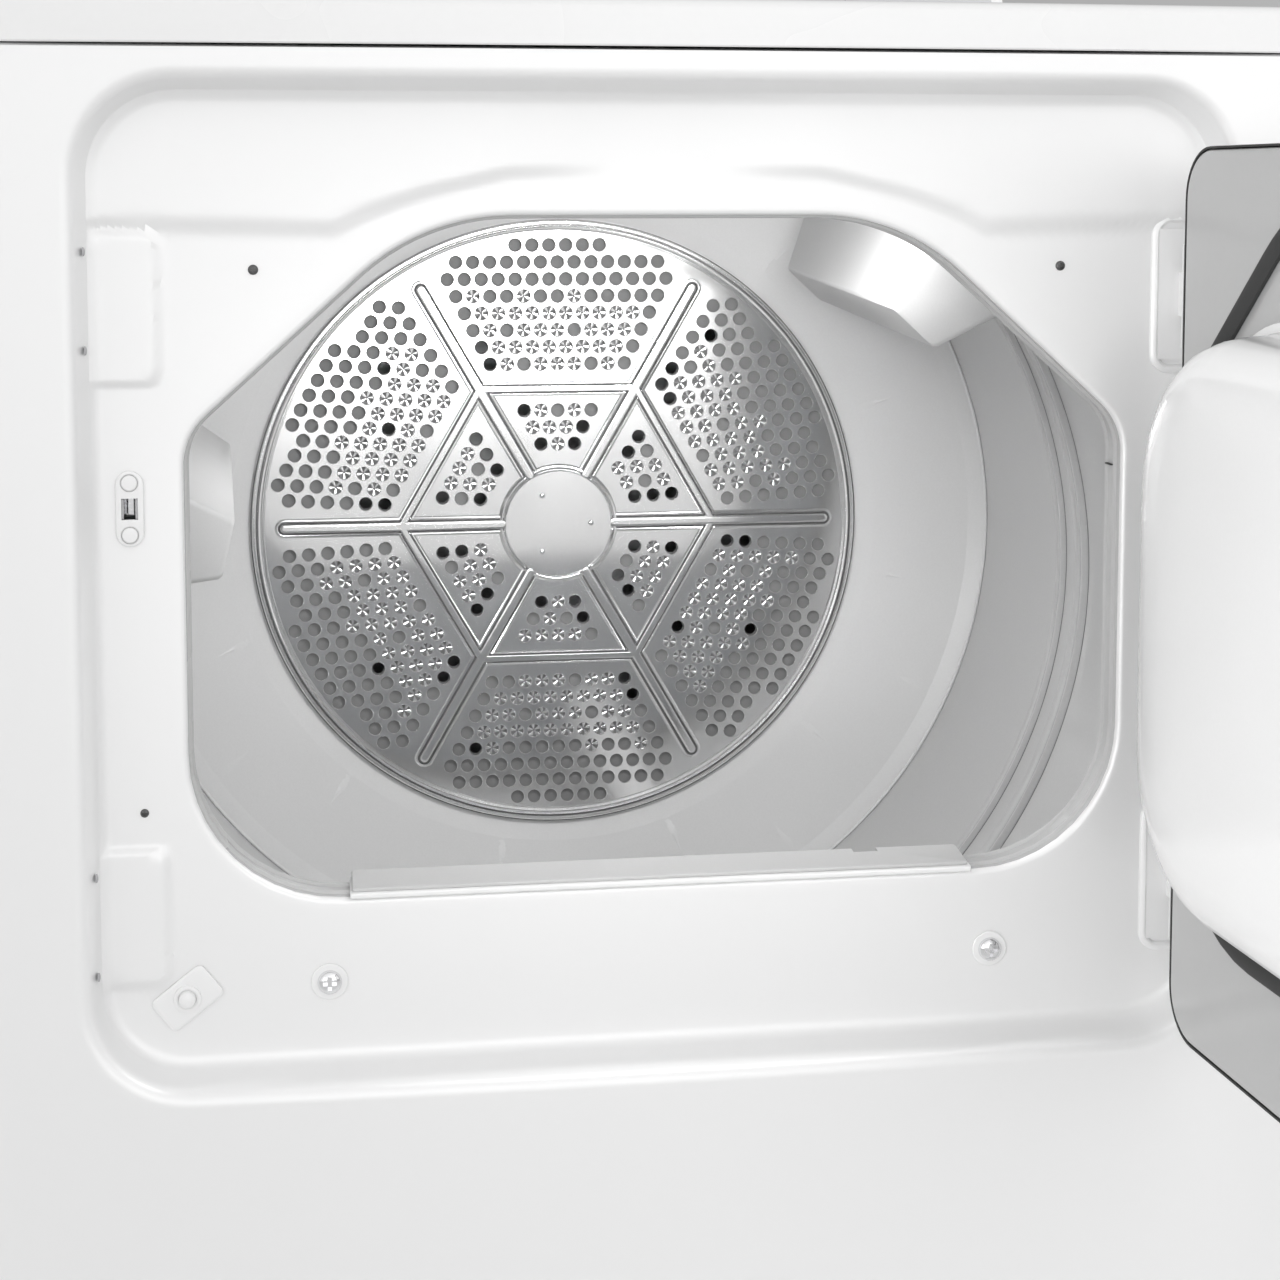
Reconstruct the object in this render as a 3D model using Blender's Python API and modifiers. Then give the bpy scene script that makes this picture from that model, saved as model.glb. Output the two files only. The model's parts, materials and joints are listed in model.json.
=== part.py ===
"""Side-swing clothes dryer, built as separate parts on their real joints.

Cabinet frame: X to the right, Y into the dryer from the flat floor of the door recess, Z up from the floor.
Every part is modelled in that frame with its door shut. Each moving body hangs from an empty on its joint's
axis, and one root empty puts the middle of the whole part's footprint at the world's origin.
"""

from math import acos, atan2, cos, pi, radians, sin, sqrt, tan

import bmesh
import bpy
from mathutils import Matrix, Vector

# Driving dimensions, in metres and degrees
WIDTH = 0.737
TOP_Z = 0.914
SEAM_Z = 0.889
CONSOLE_TOP_Z = 1.092
REAR_Y = 0.668
PIPE_END_Y = 0.700
SHEET = 0.001
GAP = 0.0003
FOOT_H = 0.014

FRONT_EDGE_Y = -0.025
FRONT_BOW = 0.010
FRONT_SHEET = 0.0012

RECESS_HALF_W = 0.306
RECESS_Z = (0.3445, 0.871)
RECESS_CORNER = 0.050
RECESS_DRAFT = 0.004
FLANGE_DEPTH = 0.024

OPENING_HALF_W = 0.2555
OPENING_Z = (0.437, 0.802)
OPENING_SHOULDER = (0.687, 0.129)

DRUM_Z = 0.555
DRUM_R = 0.337
DRUM_Y = (0.030, 0.510)
BACK_R = 0.2405
BACK_Y = 0.545
DISC_R = 0.2365
DISC_Y = 0.5455

DOOR_OPEN = 93.6
HINGE_X = 0.287
HINGE_Y = -0.019
HINGE_ZS = (0.430, 0.758)
DOOR_X = (-0.297, 0.2765)
DOOR_Z = (0.3505, 0.8385)
DOOR_Y = (-0.034, -0.0085)
DOOR_CORNERS = (0.040, 0.028)
DISH_HALF_W = 0.237
DISH_Z = (0.446, 0.745)
DISH_Y = 0.045

CATCH_X, CATCH_Z = -0.283, 0.650
SWITCH_X, SWITCH_Z, SWITCH_TILT = -0.258, 0.387, 38
SCREW_XS = {"left": -0.183, "right": 0.183}
SCREW_Z = 0.392

MOTOR_X, MOTOR_Z = -0.100, 0.125
PULLEY_R = 0.012
BELT_Y = (0.299, 0.307)
BELT_T = 0.003
BELT_CLEAR = 0.0009
IDLER_R = 0.020
IDLER_ALONG = 0.35
IDLER_PIVOT = (-0.262, 0.062)
PIPE_X, PIPE_Z, PIPE_R = 0.045, 0.0925, 0.0502

CONSOLE_Y = (0.560, 0.600)
CONSOLE_Z = 0.9145
KNOB_X = {"cycle_knob": 0.215, "temperature_knob": 0.020, "start_button": -0.120}
KNOB_R = {"cycle_knob": 0.031, "temperature_knob": 0.021, "start_button": 0.013}
KNOB_UP = 0.085

FRONT_Y = HINGE_Y - (HINGE_X - DOOR_X[0]) * sin(radians(DOOR_OPEN)) - 0.001
ROOT_Y = -(FRONT_Y + PIPE_END_Y) / 2

PARTS = "clothes_dryer"
CUTTERS = "cutters"

COLOURS = {
    "white_enamel": ((0.86, 0.86, 0.86), 0.28, 0.0),
    "grey_enamel": ((0.50, 0.50, 0.50), 0.40, 0.0),
    "zinc_steel": ((0.62, 0.63, 0.64), 0.38, 1.0),
    "bright_steel": ((0.82, 0.82, 0.82), 0.18, 1.0),
    "white_plastic": ((0.84, 0.84, 0.84), 0.35, 0.0),
    "grey_plastic": ((0.42, 0.42, 0.43), 0.45, 0.0),
    "black_rubber": ((0.05, 0.05, 0.05), 0.70, 0.0),
    "felt": ((0.55, 0.54, 0.52), 0.95, 0.0),
    "heater_wire": ((0.35, 0.33, 0.32), 0.50, 1.0),
}


# ---------------------------------------------------------------- scene helpers
def clear_scene():
    for obj in list(bpy.data.objects):
        bpy.data.objects.remove(obj, do_unlink=True)


def collection(name):
    made = bpy.data.collections.new(name)
    bpy.context.scene.collection.children.link(made)
    return made


def material(name, finish):
    """A Principled material of the part's own, in one of the dryer's finishes."""
    colour, roughness, metallic = COLOURS[finish]
    made = bpy.data.materials.new(name)
    made.use_nodes = True
    shader = made.node_tree.nodes["Principled BSDF"]
    shader.inputs["Base Color"].default_value = (*colour, 1.0)
    shader.inputs["Roughness"].default_value = roughness
    shader.inputs["Metallic"].default_value = metallic
    return made


def body_empty(name, place, parent, spin=(0.0, 0.0, 0.0)):
    """An empty on a joint's axis. Its place is in the cabinet frame, with its parent unturned."""
    empty = bpy.data.objects.new(name, None)
    bpy.data.collections[PARTS].objects.link(empty)
    empty.empty_display_size = 0.05
    empty["axis_point"] = place
    if parent:
        empty.parent = parent
        start = Vector(parent["axis_point"])
        empty.location = Vector(place) - start
    empty.rotation_euler = spin
    return empty


def hang(obj, body):
    """Parents obj to a body's empty so that its mesh stays in cabinet coordinates."""
    obj.parent = body
    obj.location = -Vector(body["axis_point"])


def finish_part(obj, body, finish, bevel=0.0):
    """Names the material, hangs the part on its body and rounds its edges."""
    bpy.data.collections[PARTS].objects.link(obj)
    obj.data.materials.clear()
    obj.data.materials.append(material(obj.name, finish))
    obj.data.shade_smooth()
    obj.data.set_sharp_from_angle(angle=radians(35))
    hang(obj, body)
    if bevel:
        rounding = obj.modifiers.new("rounding", "BEVEL")
        rounding.width = bevel
        rounding.segments = 2
        rounding.angle_limit = radians(40)
    return obj


def combine(obj, tools, operation="DIFFERENCE"):
    """Cuts the tools from obj, or joins them to it, with the tools hidden beside it."""
    for tool in tools:
        bpy.data.collections[CUTTERS].objects.link(tool)
        tool.hide_render = True
        tool.display_type = "WIRE"
        tool.parent = obj.parent
        tool.location = obj.location
        change = obj.modifiers.new(tool.name, "BOOLEAN")
        change.operation = operation
        change.object = tool
    return obj


# ---------------------------------------------------------------- shape helpers
def from_bmesh(name, bm):
    mesh = bpy.data.meshes.new(name)
    bm.to_mesh(mesh)
    bm.free()
    return bpy.data.objects.new(name, mesh)


def box(name, low, high):
    """A box between two corners."""
    low, high = Vector(low), Vector(high)
    bm = bmesh.new()
    matrix = Matrix.Translation((low + high) / 2) @ Matrix.Diagonal((*(high - low), 1.0))
    bmesh.ops.create_cube(bm, size=1.0, matrix=matrix)
    return from_bmesh(name, bm)


def rod(name, start, end, radius, end_radius=None, segments=24):
    """A round bar between two points, with capped ends."""
    start, end = Vector(start), Vector(end)
    along = end - start
    turn = Vector((0, 0, 1)).rotation_difference(along).to_matrix().to_4x4()
    bm = bmesh.new()
    bmesh.ops.create_cone(
        bm,
        cap_ends=True,
        segments=segments,
        radius1=radius,
        radius2=radius if end_radius is None else end_radius,
        depth=along.length,
        matrix=Matrix.Translation((start + end) / 2) @ turn,
    )
    return from_bmesh(name, bm)


def turned(name, profile, centre=(0.0, 0.0), steps=48, closed=True):
    """A profile of (radius, y) points turned about the Y axis through centre, an (x, z) pair."""
    twice_area = sum(
        a[0] * b[1] - b[0] * a[1] for a, b in zip(profile, profile[1:] + profile[:1])
    )
    points = profile if twice_area < 0 else profile[::-1]
    mesh = bpy.data.meshes.new(name)
    count = len(points)
    edges = [(i, (i + 1) % count) for i in range(count if closed else count - 1)]
    mesh.from_pydata([(r, y, 0.0) for r, y in points], edges, [])
    source = bpy.data.objects.new(name, mesh)
    bpy.context.scene.collection.objects.link(source)
    screw = source.modifiers.new("turn", "SCREW")
    screw.axis = "Y"
    screw.steps = steps
    screw.render_steps = steps
    screw.use_merge_vertices = True
    screw.merge_threshold = 0.00001
    return solidified(source, Matrix.Translation((centre[0], 0, centre[1])))


def solidified(source, matrix):
    """The evaluated mesh of source as a new object in cabinet coordinates, welded and facing out."""
    graph = bpy.context.evaluated_depsgraph_get()
    mesh = bpy.data.meshes.new_from_object(source.evaluated_get(graph))
    name = source.name
    bpy.data.objects.remove(source, do_unlink=True)
    bm = bmesh.new()
    bm.from_mesh(mesh)
    bmesh.ops.remove_doubles(bm, verts=bm.verts, dist=0.000005)
    bmesh.ops.transform(bm, matrix=matrix, verts=bm.verts)
    bmesh.ops.recalc_face_normals(bm, faces=bm.faces)
    bm.to_mesh(mesh)
    bm.free()
    mesh.name = name
    return bpy.data.objects.new(name, mesh)


PLANES = {
    "XZ": Matrix(((1, 0, 0, 0), (0, 0, -1, 0), (0, 1, 0, 0), (0, 0, 0, 1))),
    "XY": Matrix.Identity(4),
    "YZ": Matrix(((0, 0, 1, 0), (1, 0, 0, 0), (0, 1, 0, 0), (0, 0, 0, 1))),
}
NORMALS = {"XZ": Vector((0, 1, 0)), "XY": Vector((0, 0, 1)), "YZ": Vector((1, 0, 0))}


def plate(name, loops, start, end, plane="XZ"):
    """Flat loops, the first outside and the others holes, extruded between two depths."""
    curve = bpy.data.curves.new(name, "CURVE")
    curve.dimensions = "2D"
    curve.fill_mode = "BOTH"
    curve.extrude = (end - start) / 2
    for loop in loops:
        spline = curve.splines.new("POLY")
        spline.points.add(len(loop) - 1)
        spline.use_cyclic_u = True
        for point, (u, v) in zip(spline.points, loop):
            point.co = (u, v, 0.0, 1.0)
    source = bpy.data.objects.new(name, curve)
    bpy.context.scene.collection.objects.link(source)
    shift = Matrix.Translation(NORMALS[plane] * (start + end) / 2)
    return solidified(source, shift @ PLANES[plane])


def rounded(corners, steps=6):
    """A closed outline from (u, v, radius) corners, each rounded by an arc that touches both sides."""
    outline = []
    count = len(corners)
    for i, (u, v, radius) in enumerate(corners):
        here = Vector((u, v))
        back = (Vector(corners[i - 1][:2]) - here).normalized()
        ahead = (Vector(corners[(i + 1) % count][:2]) - here).normalized()
        if radius == 0:
            outline.append((u, v))
            continue
        half = acos(max(-1.0, min(1.0, back.dot(ahead)))) / 2
        start = here + back * radius / tan(half)
        centre = here + (back + ahead).normalized() * radius / sin(half)
        first = start - centre
        turn = back.x * ahead.y - back.y * ahead.x
        sweep = (pi - 2 * half) * (1 if turn < 0 else -1)
        for k in range(steps + 1):
            a = sweep * k / steps
            x = first.x * cos(a) - first.y * sin(a)
            y = first.x * sin(a) + first.y * cos(a)
            outline.append((centre.x + x, centre.y + y))
    return outline


def rounded_rect(u, v, radius, steps=6):
    """A rounded rectangle between two u values and two v values."""
    corners = [(u[0], v[0]), (u[1], v[0]), (u[1], v[1]), (u[0], v[1])]
    return rounded([(a, b, radius) for a, b in corners], steps)


def circle(centre, radius, steps=32):
    """A round outline about a (u, v) centre."""
    turns = [2 * pi * k / steps for k in range(steps)]
    return [(centre[0] + radius * cos(a), centre[1] + radius * sin(a)) for a in turns]


def tube(name, start, end, outer, inner, steps=32):
    """A pipe along Y between two (x, y, z) points."""
    centre = (start[0], start[2])
    profile = [(outer, end[1]), (outer, start[1]), (inner, start[1]), (inner, end[1])]
    return turned(name, profile, centre, steps)


def on_ray(outline, centre, angle):
    """Where a ray from centre leaves a closed outline."""
    ray = Vector((cos(angle), sin(angle)))
    best = 0.0
    for a, b in zip(outline, outline[1:] + outline[:1]):
        first = Vector(a) - Vector(centre)
        side = Vector(b) - Vector(a)
        cross = ray.x * side.y - ray.y * side.x
        if abs(cross) < 1e-12:
            continue
        distance = (first.x * side.y - first.y * side.x) / cross
        share = (first.x * ray.y - first.y * ray.x) / cross
        if -1e-9 <= share <= 1 + 1e-9 and distance > best:
            best = distance
    return (centre[0] + ray.x * best, centre[1] + ray.y * best)


def loft(name, rings, close_ends=False):
    """A skin through rings of (x, y, z) points, which all hold the same number of points."""
    bm = bmesh.new()
    rows = [[bm.verts.new(point) for point in ring] for ring in rings]
    for low, high in zip(rows, rows[1:]):
        for k in range(len(low)):
            n = (k + 1) % len(low)
            bm.faces.new((low[k], low[n], high[n], high[k]))
    if close_ends:
        bm.faces.new(rows[-1])
    bmesh.ops.recalc_face_normals(bm, faces=bm.faces)
    return from_bmesh(name, bm)


def thicken(obj, thickness, offset):
    """Gives an open skin its wall."""
    wall = obj.modifiers.new("wall", "SOLIDIFY")
    wall.thickness = thickness
    wall.offset = offset
    return obj


# ---------------------------------------------------------------- outlines
def bow_y(x):
    """The front panel's depth at x: it stands furthest forward at the middle."""
    return FRONT_EDGE_Y - FRONT_BOW * (1 - (2 * x / WIDTH) ** 2)


def opening_outline(grow=0.0, steps=6):
    """The loading opening: flat sill, round lower corners, slanting shoulders and a flat top."""
    w = OPENING_HALF_W + grow
    low, high = OPENING_Z[0] - grow, OPENING_Z[1] + grow
    shoulder_z, shoulder_x = OPENING_SHOULDER
    slant = grow * tan(radians(24))
    corners = [
        (-w, low, 0.080 + grow),
        (w, low, 0.080 + grow),
        (w, shoulder_z + slant, 0.030 + grow),
        (shoulder_x + slant, high, 0.120 + grow),
        (-shoulder_x - slant, high, 0.120 + grow),
        (-w, shoulder_z + slant, 0.030 + grow),
    ]
    return rounded(corners, steps)


# ---------------------------------------------------------------- cabinet
def build_front_panel(body):
    """The bowed sheet with its recess, its opening and the flange round the opening."""
    half = (WIDTH - FRONT_SHEET) / 2
    middle = (0.0, (RECESS_Z[0] + RECESS_Z[1]) / 2)
    outer = [(-half, FOOT_H), (half, FOOT_H), (half, SEAM_Z - 0.001), (-half, SEAM_Z - 0.001)]
    rim = rounded_rect((-RECESS_HALF_W, RECESS_HALF_W), RECESS_Z, RECESS_CORNER)
    inset = RECESS_DRAFT
    floor_x = (-RECESS_HALF_W + inset, RECESS_HALF_W - inset)
    floor_z = (RECESS_Z[0] + inset, RECESS_Z[1] - inset)
    floor = rounded_rect(floor_x, floor_z, RECESS_CORNER - inset)
    opening = opening_outline()
    angles = [2 * pi * k / 96 for k in range(96)]
    for x, z in outer:
        corner = atan2(z - middle[1], x - middle[0]) % (2 * pi)
        nearest = min(range(96), key=lambda k: abs(angles[k] - corner))
        angles[nearest] = corner

    def ring(outline, depth, share=1.0, toward=None):
        points = []
        for angle in angles:
            x, z = on_ray(outline, middle, angle)
            if toward:
                far_x, far_z = on_ray(toward, middle, angle)
                x, z = x + (far_x - x) * share, z + (far_z - z) * share
            points.append((x, depth if depth is not None else bow_y(x), z))
        return points

    rings = [
        ring(outer, -0.0006),
        ring(outer, None),
        ring(outer, None, 0.5, rim),
        ring(rim, None),
        ring(floor, -FRONT_SHEET),
        ring(opening, -FRONT_SHEET),
        ring(opening, FLANGE_DEPTH),
    ]
    panel = loft("front_panel", rings)
    thicken(panel, FRONT_SHEET, 0.0)
    finish_part(panel, body, "white_enamel")
    catch = (Vector((CATCH_X, 0, CATCH_Z)), Vector((0.0055, 0.01, 0.0165)))
    cuts = [
        box("catch_hole", catch[0] - catch[1], catch[0] + catch[1]),
        rod("switch_hole", (SWITCH_X, -0.012, SWITCH_Z), (SWITCH_X, 0.012, SWITCH_Z), 0.0085, segments=20),
        box("screen_slot", (-0.1620, 0.0060, 0.430), (0.1620, 0.0195, 0.445)),
    ]
    for side, x in SCREW_XS.items():
        cuts.append(rod(f"screw_hole_{side}", (x, -0.01, SCREW_Z), (x, 0.01, SCREW_Z), 0.0030, segments=16))
    combine(panel, cuts)
    return panel


def build_duct_screws(body):
    """The two bright screws below the opening, each a domed head with its shank through the panel."""
    seat = -FRONT_SHEET / 2 - FRONT_SHEET - GAP
    shank_r, shank_end = 0.0026, 0.0080
    dome = [(0.0, -0.0058), (0.0045, -0.0050), (0.0072, -0.0032), (0.0078, seat)]
    profile = [*dome, (shank_r, seat), (shank_r, shank_end), (0.0, shank_end)]
    for side, x in SCREW_XS.items():
        screw = turned(f"duct_screw_{side}", profile, (x, SCREW_Z), 24, closed=False)
        finish_part(screw, body, "bright_steel")


def build_shell(body):
    """Base pan, sides, rear, top and feet."""
    half = WIDTH / 2
    low_z = FOOT_H
    high_z = SEAM_Z - 0.001
    pan = box("base_pan", (-half + 0.002, 0.0005, low_z), (half - 0.002, REAR_Y - 0.0025, low_z + 0.022))
    finish_part(pan, body, "zinc_steel")
    pocket = box("pan_pocket", (-half + 0.003, 0.0015, low_z + SHEET), (half - 0.003, REAR_Y - 0.0035, 0.1))
    combine(pan, [pocket])
    for name, side in (("side_panel_left", -1), ("side_panel_right", 1)):
        lip, front, rear = 0.020, 0.0002, REAR_Y - SHEET - GAP
        loop = [
            (half, front),
            (half, rear),
            (half - lip, rear),
            (half - lip, rear - SHEET),
            (half - SHEET, rear - SHEET),
            (half - SHEET, front),
        ]
        panel = plate(name, [[(side * x, y) for x, y in loop]], low_z, high_z, "XY")
        finish_part(panel, body, "white_enamel")
    rear = plate(
        "rear_panel",
        [
            rounded_rect((-half, half), (low_z, high_z), 0.004, 2),
            circle((PIPE_X, PIPE_Z), PIPE_R + 0.002),
            rounded_rect((-0.300, -0.240), (0.140, 0.200), 0.006, 2),
        ],
        REAR_Y - SHEET,
        REAR_Y,
    )
    finish_part(rear, body, "zinc_steel")
    bow = [(x, bow_y(x) - 0.001) for x in (half * (k / 6 - 1) for k in range(13))]
    top = plate("top_panel", [bow + [(half, REAR_Y), (-half, REAR_Y)]], SEAM_Z, TOP_Z, "XY")
    finish_part(top, body, "white_enamel", bevel=0.004)
    inner = [(x * 0.993, y + 0.002) for x, y in bow]
    inside = plate(
        "top_pocket",
        [inner + [(half - 0.002, REAR_Y - 0.002), (-half + 0.002, REAR_Y - 0.002)]],
        SEAM_Z - 0.01,
        TOP_Z - 0.0015,
        "XY",
    )
    combine(top, [inside])
    top.modifiers.move(0, 1)
    for x, side in ((-0.320, "left"), (0.320, "right")):
        for y, end in ((0.050, "front"), (0.615, "rear")):
            foot = rod(f"foot_{end}_{side}", (x, y, 0), (x, y, FOOT_H - GAP), 0.021, 0.016)
            finish_part(foot, body, "black_rubber")


def build_front_bulkhead(body):
    """The ring plate behind the front panel, its felt, and the glides that carry the drum's front."""
    outline = rounded_rect((-0.345, 0.345), (0.205, 0.884), 0.020, 3)
    bulkhead = plate("front_bulkhead", [outline, opening_outline(0.0022)], 0.0255, 0.0267)
    finish_part(bulkhead, body, "zinc_steel")
    collar = tube("bulkhead_collar", (0, 0.026, DRUM_Z), (0, 0.060, DRUM_Z), 0.3262, 0.3250, 40)
    combine(bulkhead, [collar], "UNION")
    felt = tube(
        "front_drum_seal", (0, 0.036, DRUM_Z), (0, 0.056, DRUM_Z), DRUM_R - 2 * SHEET, 0.3268, 40
    )
    finish_part(felt, body, "felt")


def build_rear_duct(body):
    """The round air duct behind the drum, its felt, the shaft bearing and the heater."""
    wall = 0.235
    profile = [
        (wall, 0.5570),
        (wall, 0.6560),
        (0.0225, 0.6560),
        (0.0225, 0.6550),
        (wall - SHEET, 0.6550),
        (wall - SHEET, 0.5570),
    ]
    duct = turned("rear_air_duct", profile, (0, DRUM_Z), 40)
    finish_part(duct, body, "zinc_steel")
    window = box("duct_inlet", (0.200, 0.575, 0.500), (0.260, 0.645, 0.610))
    combine(duct, [window])
    felt = tube("rear_drum_seal", (0, 0.5505, DRUM_Z), (0, 0.5567, DRUM_Z), 0.2380, 0.2290, 40)
    finish_part(felt, body, "felt")
    bearing = turned(
        "rear_bearing",
        [
            (0.0104, 0.6480),
            (0.0220, 0.6480),
            (0.0220, 0.6563),
            (0.0320, 0.6563),
            (0.0320, 0.6600),
            (0.0104, 0.6600),
        ],
        (0, DRUM_Z),
        32,
    )
    finish_part(bearing, body, "grey_plastic")
    x, y, z = (0.2370, 0.3300), (0.5700, 0.6500), (0.080, 0.640)
    heater = box("heater_housing", (x[0], y[0], z[0]), (x[1], y[1], z[1]))
    finish_part(heater, body, "zinc_steel")
    inner_low = (x[0] + SHEET, y[0] + SHEET, z[0] - 0.01)
    inner_high = (x[1] - SHEET, y[1] - SHEET, z[1] - SHEET)
    hollow = box("heater_hollow", inner_low, inner_high)
    outlet = box("heater_outlet", (x[0] - 0.01, 0.576, 0.501), (x[0] + 0.01, 0.644, 0.609))
    combine(heater, [hollow, outlet])
    turns, per_turn, coil_r, low_z, length = 7, 8, 0.020, 0.140, 0.300
    coil_x, coil_y = sum(x) / 2, sum(y) / 2
    points = []
    for k in range(turns * per_turn + 1):
        a = 2 * pi * k / per_turn
        height = low_z + length * k / (turns * per_turn)
        points.append((coil_x + coil_r * cos(a), coil_y + coil_r * sin(a), height))
    coil = wire("heating_element", points, 0.0016)
    finish_part(coil, body, "heater_wire")


def wire(name, points, radius):
    """A round wire through the points."""
    curve = bpy.data.curves.new(name, "CURVE")
    curve.dimensions = "3D"
    curve.bevel_depth = radius
    curve.bevel_resolution = 0
    curve.use_fill_caps = True
    spline = curve.splines.new("POLY")
    spline.points.add(len(points) - 1)
    for point, co in zip(spline.points, points):
        point.co = (*co, 1.0)
    source = bpy.data.objects.new(name, curve)
    bpy.context.scene.collection.objects.link(source)
    return solidified(source, Matrix.Identity(4))


def build_air_path(body):
    """Lint duct, blower housing and exhaust pipe."""
    duct = box("lint_duct", (-0.178, 0.0015, 0.060), (0.178, 0.0240, 0.4250))
    finish_part(duct, body, "grey_plastic")
    hollow = box("duct_hollow", (-0.1765, 0.0030, 0.0615), (0.1765, 0.0225, 0.5))
    mouth = rod("duct_mouth", (MOTOR_X, 0.02, MOTOR_Z), (MOTOR_X, 0.03, MOTOR_Z), 0.055)
    combine(duct, [hollow, mouth])
    y = (0.0270, 0.0980)
    housing = rod("blower_housing", (MOTOR_X, y[0], MOTOR_Z), (MOTOR_X, y[1], MOTOR_Z), 0.078, segments=40)
    finish_part(housing, body, "grey_plastic")
    outlet = box("blower_outlet", (MOTOR_X, y[0] + 0.0005, 0.0475), (0.104, y[1] - 0.0005, 0.152))
    combine(housing, [outlet], "UNION")
    hollow_ends = (MOTOR_X, y[0] + 0.002, MOTOR_Z), (MOTOR_X, y[1] - 0.002, MOTOR_Z)
    inner = rod("blower_hollow", *hollow_ends, 0.076, segments=40)
    inner_outlet = box("outlet_hollow", (MOTOR_X, y[0] + 0.0025, 0.0495), (0.102, y[1] - 0.0025, 0.150))
    combine(inner, [inner_outlet], "UNION")
    intake = rod("blower_intake", (MOTOR_X, 0.02, MOTOR_Z), (MOTOR_X, 0.05, MOTOR_Z), 0.052)
    shaft_hole = rod("blower_shaft_hole", (MOTOR_X, 0.08, MOTOR_Z), (MOTOR_X, 0.11, MOTOR_Z), 0.010)
    pipe_hole = rod("blower_pipe_hole", (PIPE_X, 0.08, 0.0985), (PIPE_X, 0.11, 0.0985), 0.0475)
    combine(housing, [inner, intake, shaft_hole, pipe_hole])
    start, end = (PIPE_X, y[1] + GAP, PIPE_Z), (PIPE_X, PIPE_END_Y, PIPE_Z)
    pipe = tube("exhaust_pipe", start, end, PIPE_R, PIPE_R - 0.0008, 40)
    finish_part(pipe, body, "zinc_steel")


def tangent_angles():
    """The angles, at both pulleys, where the belt's two straight runs touch them."""
    across, down = MOTOR_X, MOTOR_Z - DRUM_Z
    middle = atan2(down, across)
    spread = acos((DRUM_R - PULLEY_R) / sqrt(across**2 + down**2))
    return middle - spread, middle + spread


def belt_loop(extra):
    """One closed line of the belt: round the drum, down to the motor pulley and back."""
    first, last = tangent_angles()
    sweep = 2 * pi - (last - first)
    loop = []
    for k in range(49):
        a = last + sweep * k / 48
        r = DRUM_R + extra
        loop.append((r * cos(a), DRUM_Z + r * sin(a)))
    for k in range(9):
        a = first + (last - first) * k / 8
        r = PULLEY_R + extra
        loop.append((MOTOR_X + r * cos(a), MOTOR_Z + r * sin(a)))
    return loop


def idler_centre():
    """The idler sits against the outside of the belt's left run."""
    angle = tangent_angles()[0]
    normal = Vector((cos(angle), sin(angle)))
    low = Vector((MOTOR_X, MOTOR_Z)) + normal * PULLEY_R
    high = Vector((0, DRUM_Z)) + normal * DRUM_R
    return low.lerp(high, IDLER_ALONG) + normal * (BELT_T + BELT_CLEAR + GAP + IDLER_R)


def build_drive(cabinet, rotor, arm, idler):
    """Motor, its bracket, the pulleys, the idler and the belt."""
    x, z = MOTOR_X, MOTOR_Z
    bore = 0.0066
    motor = turned(
        "motor_housing",
        [(bore, 0.126), (0.040, 0.126), (0.058, 0.146), (0.058, 0.246), (0.040, 0.266), (bore, 0.266)],
        (x, z),
        32,
    )
    finish_part(motor, cabinet, "grey_enamel")
    floor_z = FOOT_H + SHEET + GAP
    bracket = box("motor_bracket", (-0.290, 0.1195, floor_z), (-0.040, 0.2960, floor_z + 0.002))
    finish_part(bracket, cabinet, "zinc_steel")
    uprights = []
    foot_z = floor_z + 0.0005
    upright_loops = [
        rounded_rect((x - 0.045, x + 0.045), (foot_z, z + 0.030), 0.010, 3),
        circle((x, z), 0.013, 20),
    ]
    for k, y in enumerate((0.1200, 0.2680)):
        uprights.append(plate(f"bracket_upright_{k}", upright_loops, y, y + 0.002))
    px, pz = IDLER_PIVOT
    post_loops = [
        rounded_rect((px - 0.018, px + 0.018), (foot_z, pz + 0.014), 0.006, 3),
        circle((px, pz), 0.0047, 16),
    ]
    post = plate("idler_post", post_loops, 0.2910, 0.2935)
    combine(bracket, [*uprights, post], "UNION")
    belt = plate("drive_belt", [belt_loop(BELT_T + BELT_CLEAR), belt_loop(BELT_CLEAR)], *BELT_Y)
    finish_part(belt, cabinet, "black_rubber")

    shaft = rod("motor_shaft", (x, 0.040, z), (x, 0.3180, z), 0.006)
    finish_part(shaft, rotor, "bright_steel")
    pulley = tube("shaft_pulley", (x, 0.2960, z), (x, 0.3120, z), PULLEY_R, 0.004, 24)
    combine(shaft, [pulley], "UNION")
    wheel = turned(
        "blower_wheel",
        [
            (0.0063, 0.0520),
            (0.0120, 0.0520),
            (0.0120, 0.0860),
            (0.0680, 0.0860),
            (0.0680, 0.0400),
            (0.0700, 0.0400),
            (0.0700, 0.0880),
            (0.0063, 0.0880),
        ],
        (x, z),
        40,
    )
    finish_part(wheel, rotor, "white_plastic")

    ix, iz = idler_centre()
    link_loop = capsule((px, pz), (ix, iz), 0.011)
    link = plate("idler_arm", [link_loop], 0.2945, 0.2965)
    finish_part(link, arm, "zinc_steel")
    pivot = rod("idler_pivot_pin", (px, 0.2870, pz), (px, 0.2960, pz), 0.0044, segments=16)
    axle = rod("idler_axle", (ix, 0.2950, iz), (ix, 0.3110, iz), 0.0040, segments=16)
    combine(link, [pivot, axle], "UNION")
    roller = tube("idler_pulley", (ix, 0.2970, iz), (ix, 0.3090, iz), IDLER_R, 0.0043, 24)
    finish_part(roller, idler, "white_plastic")


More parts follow.
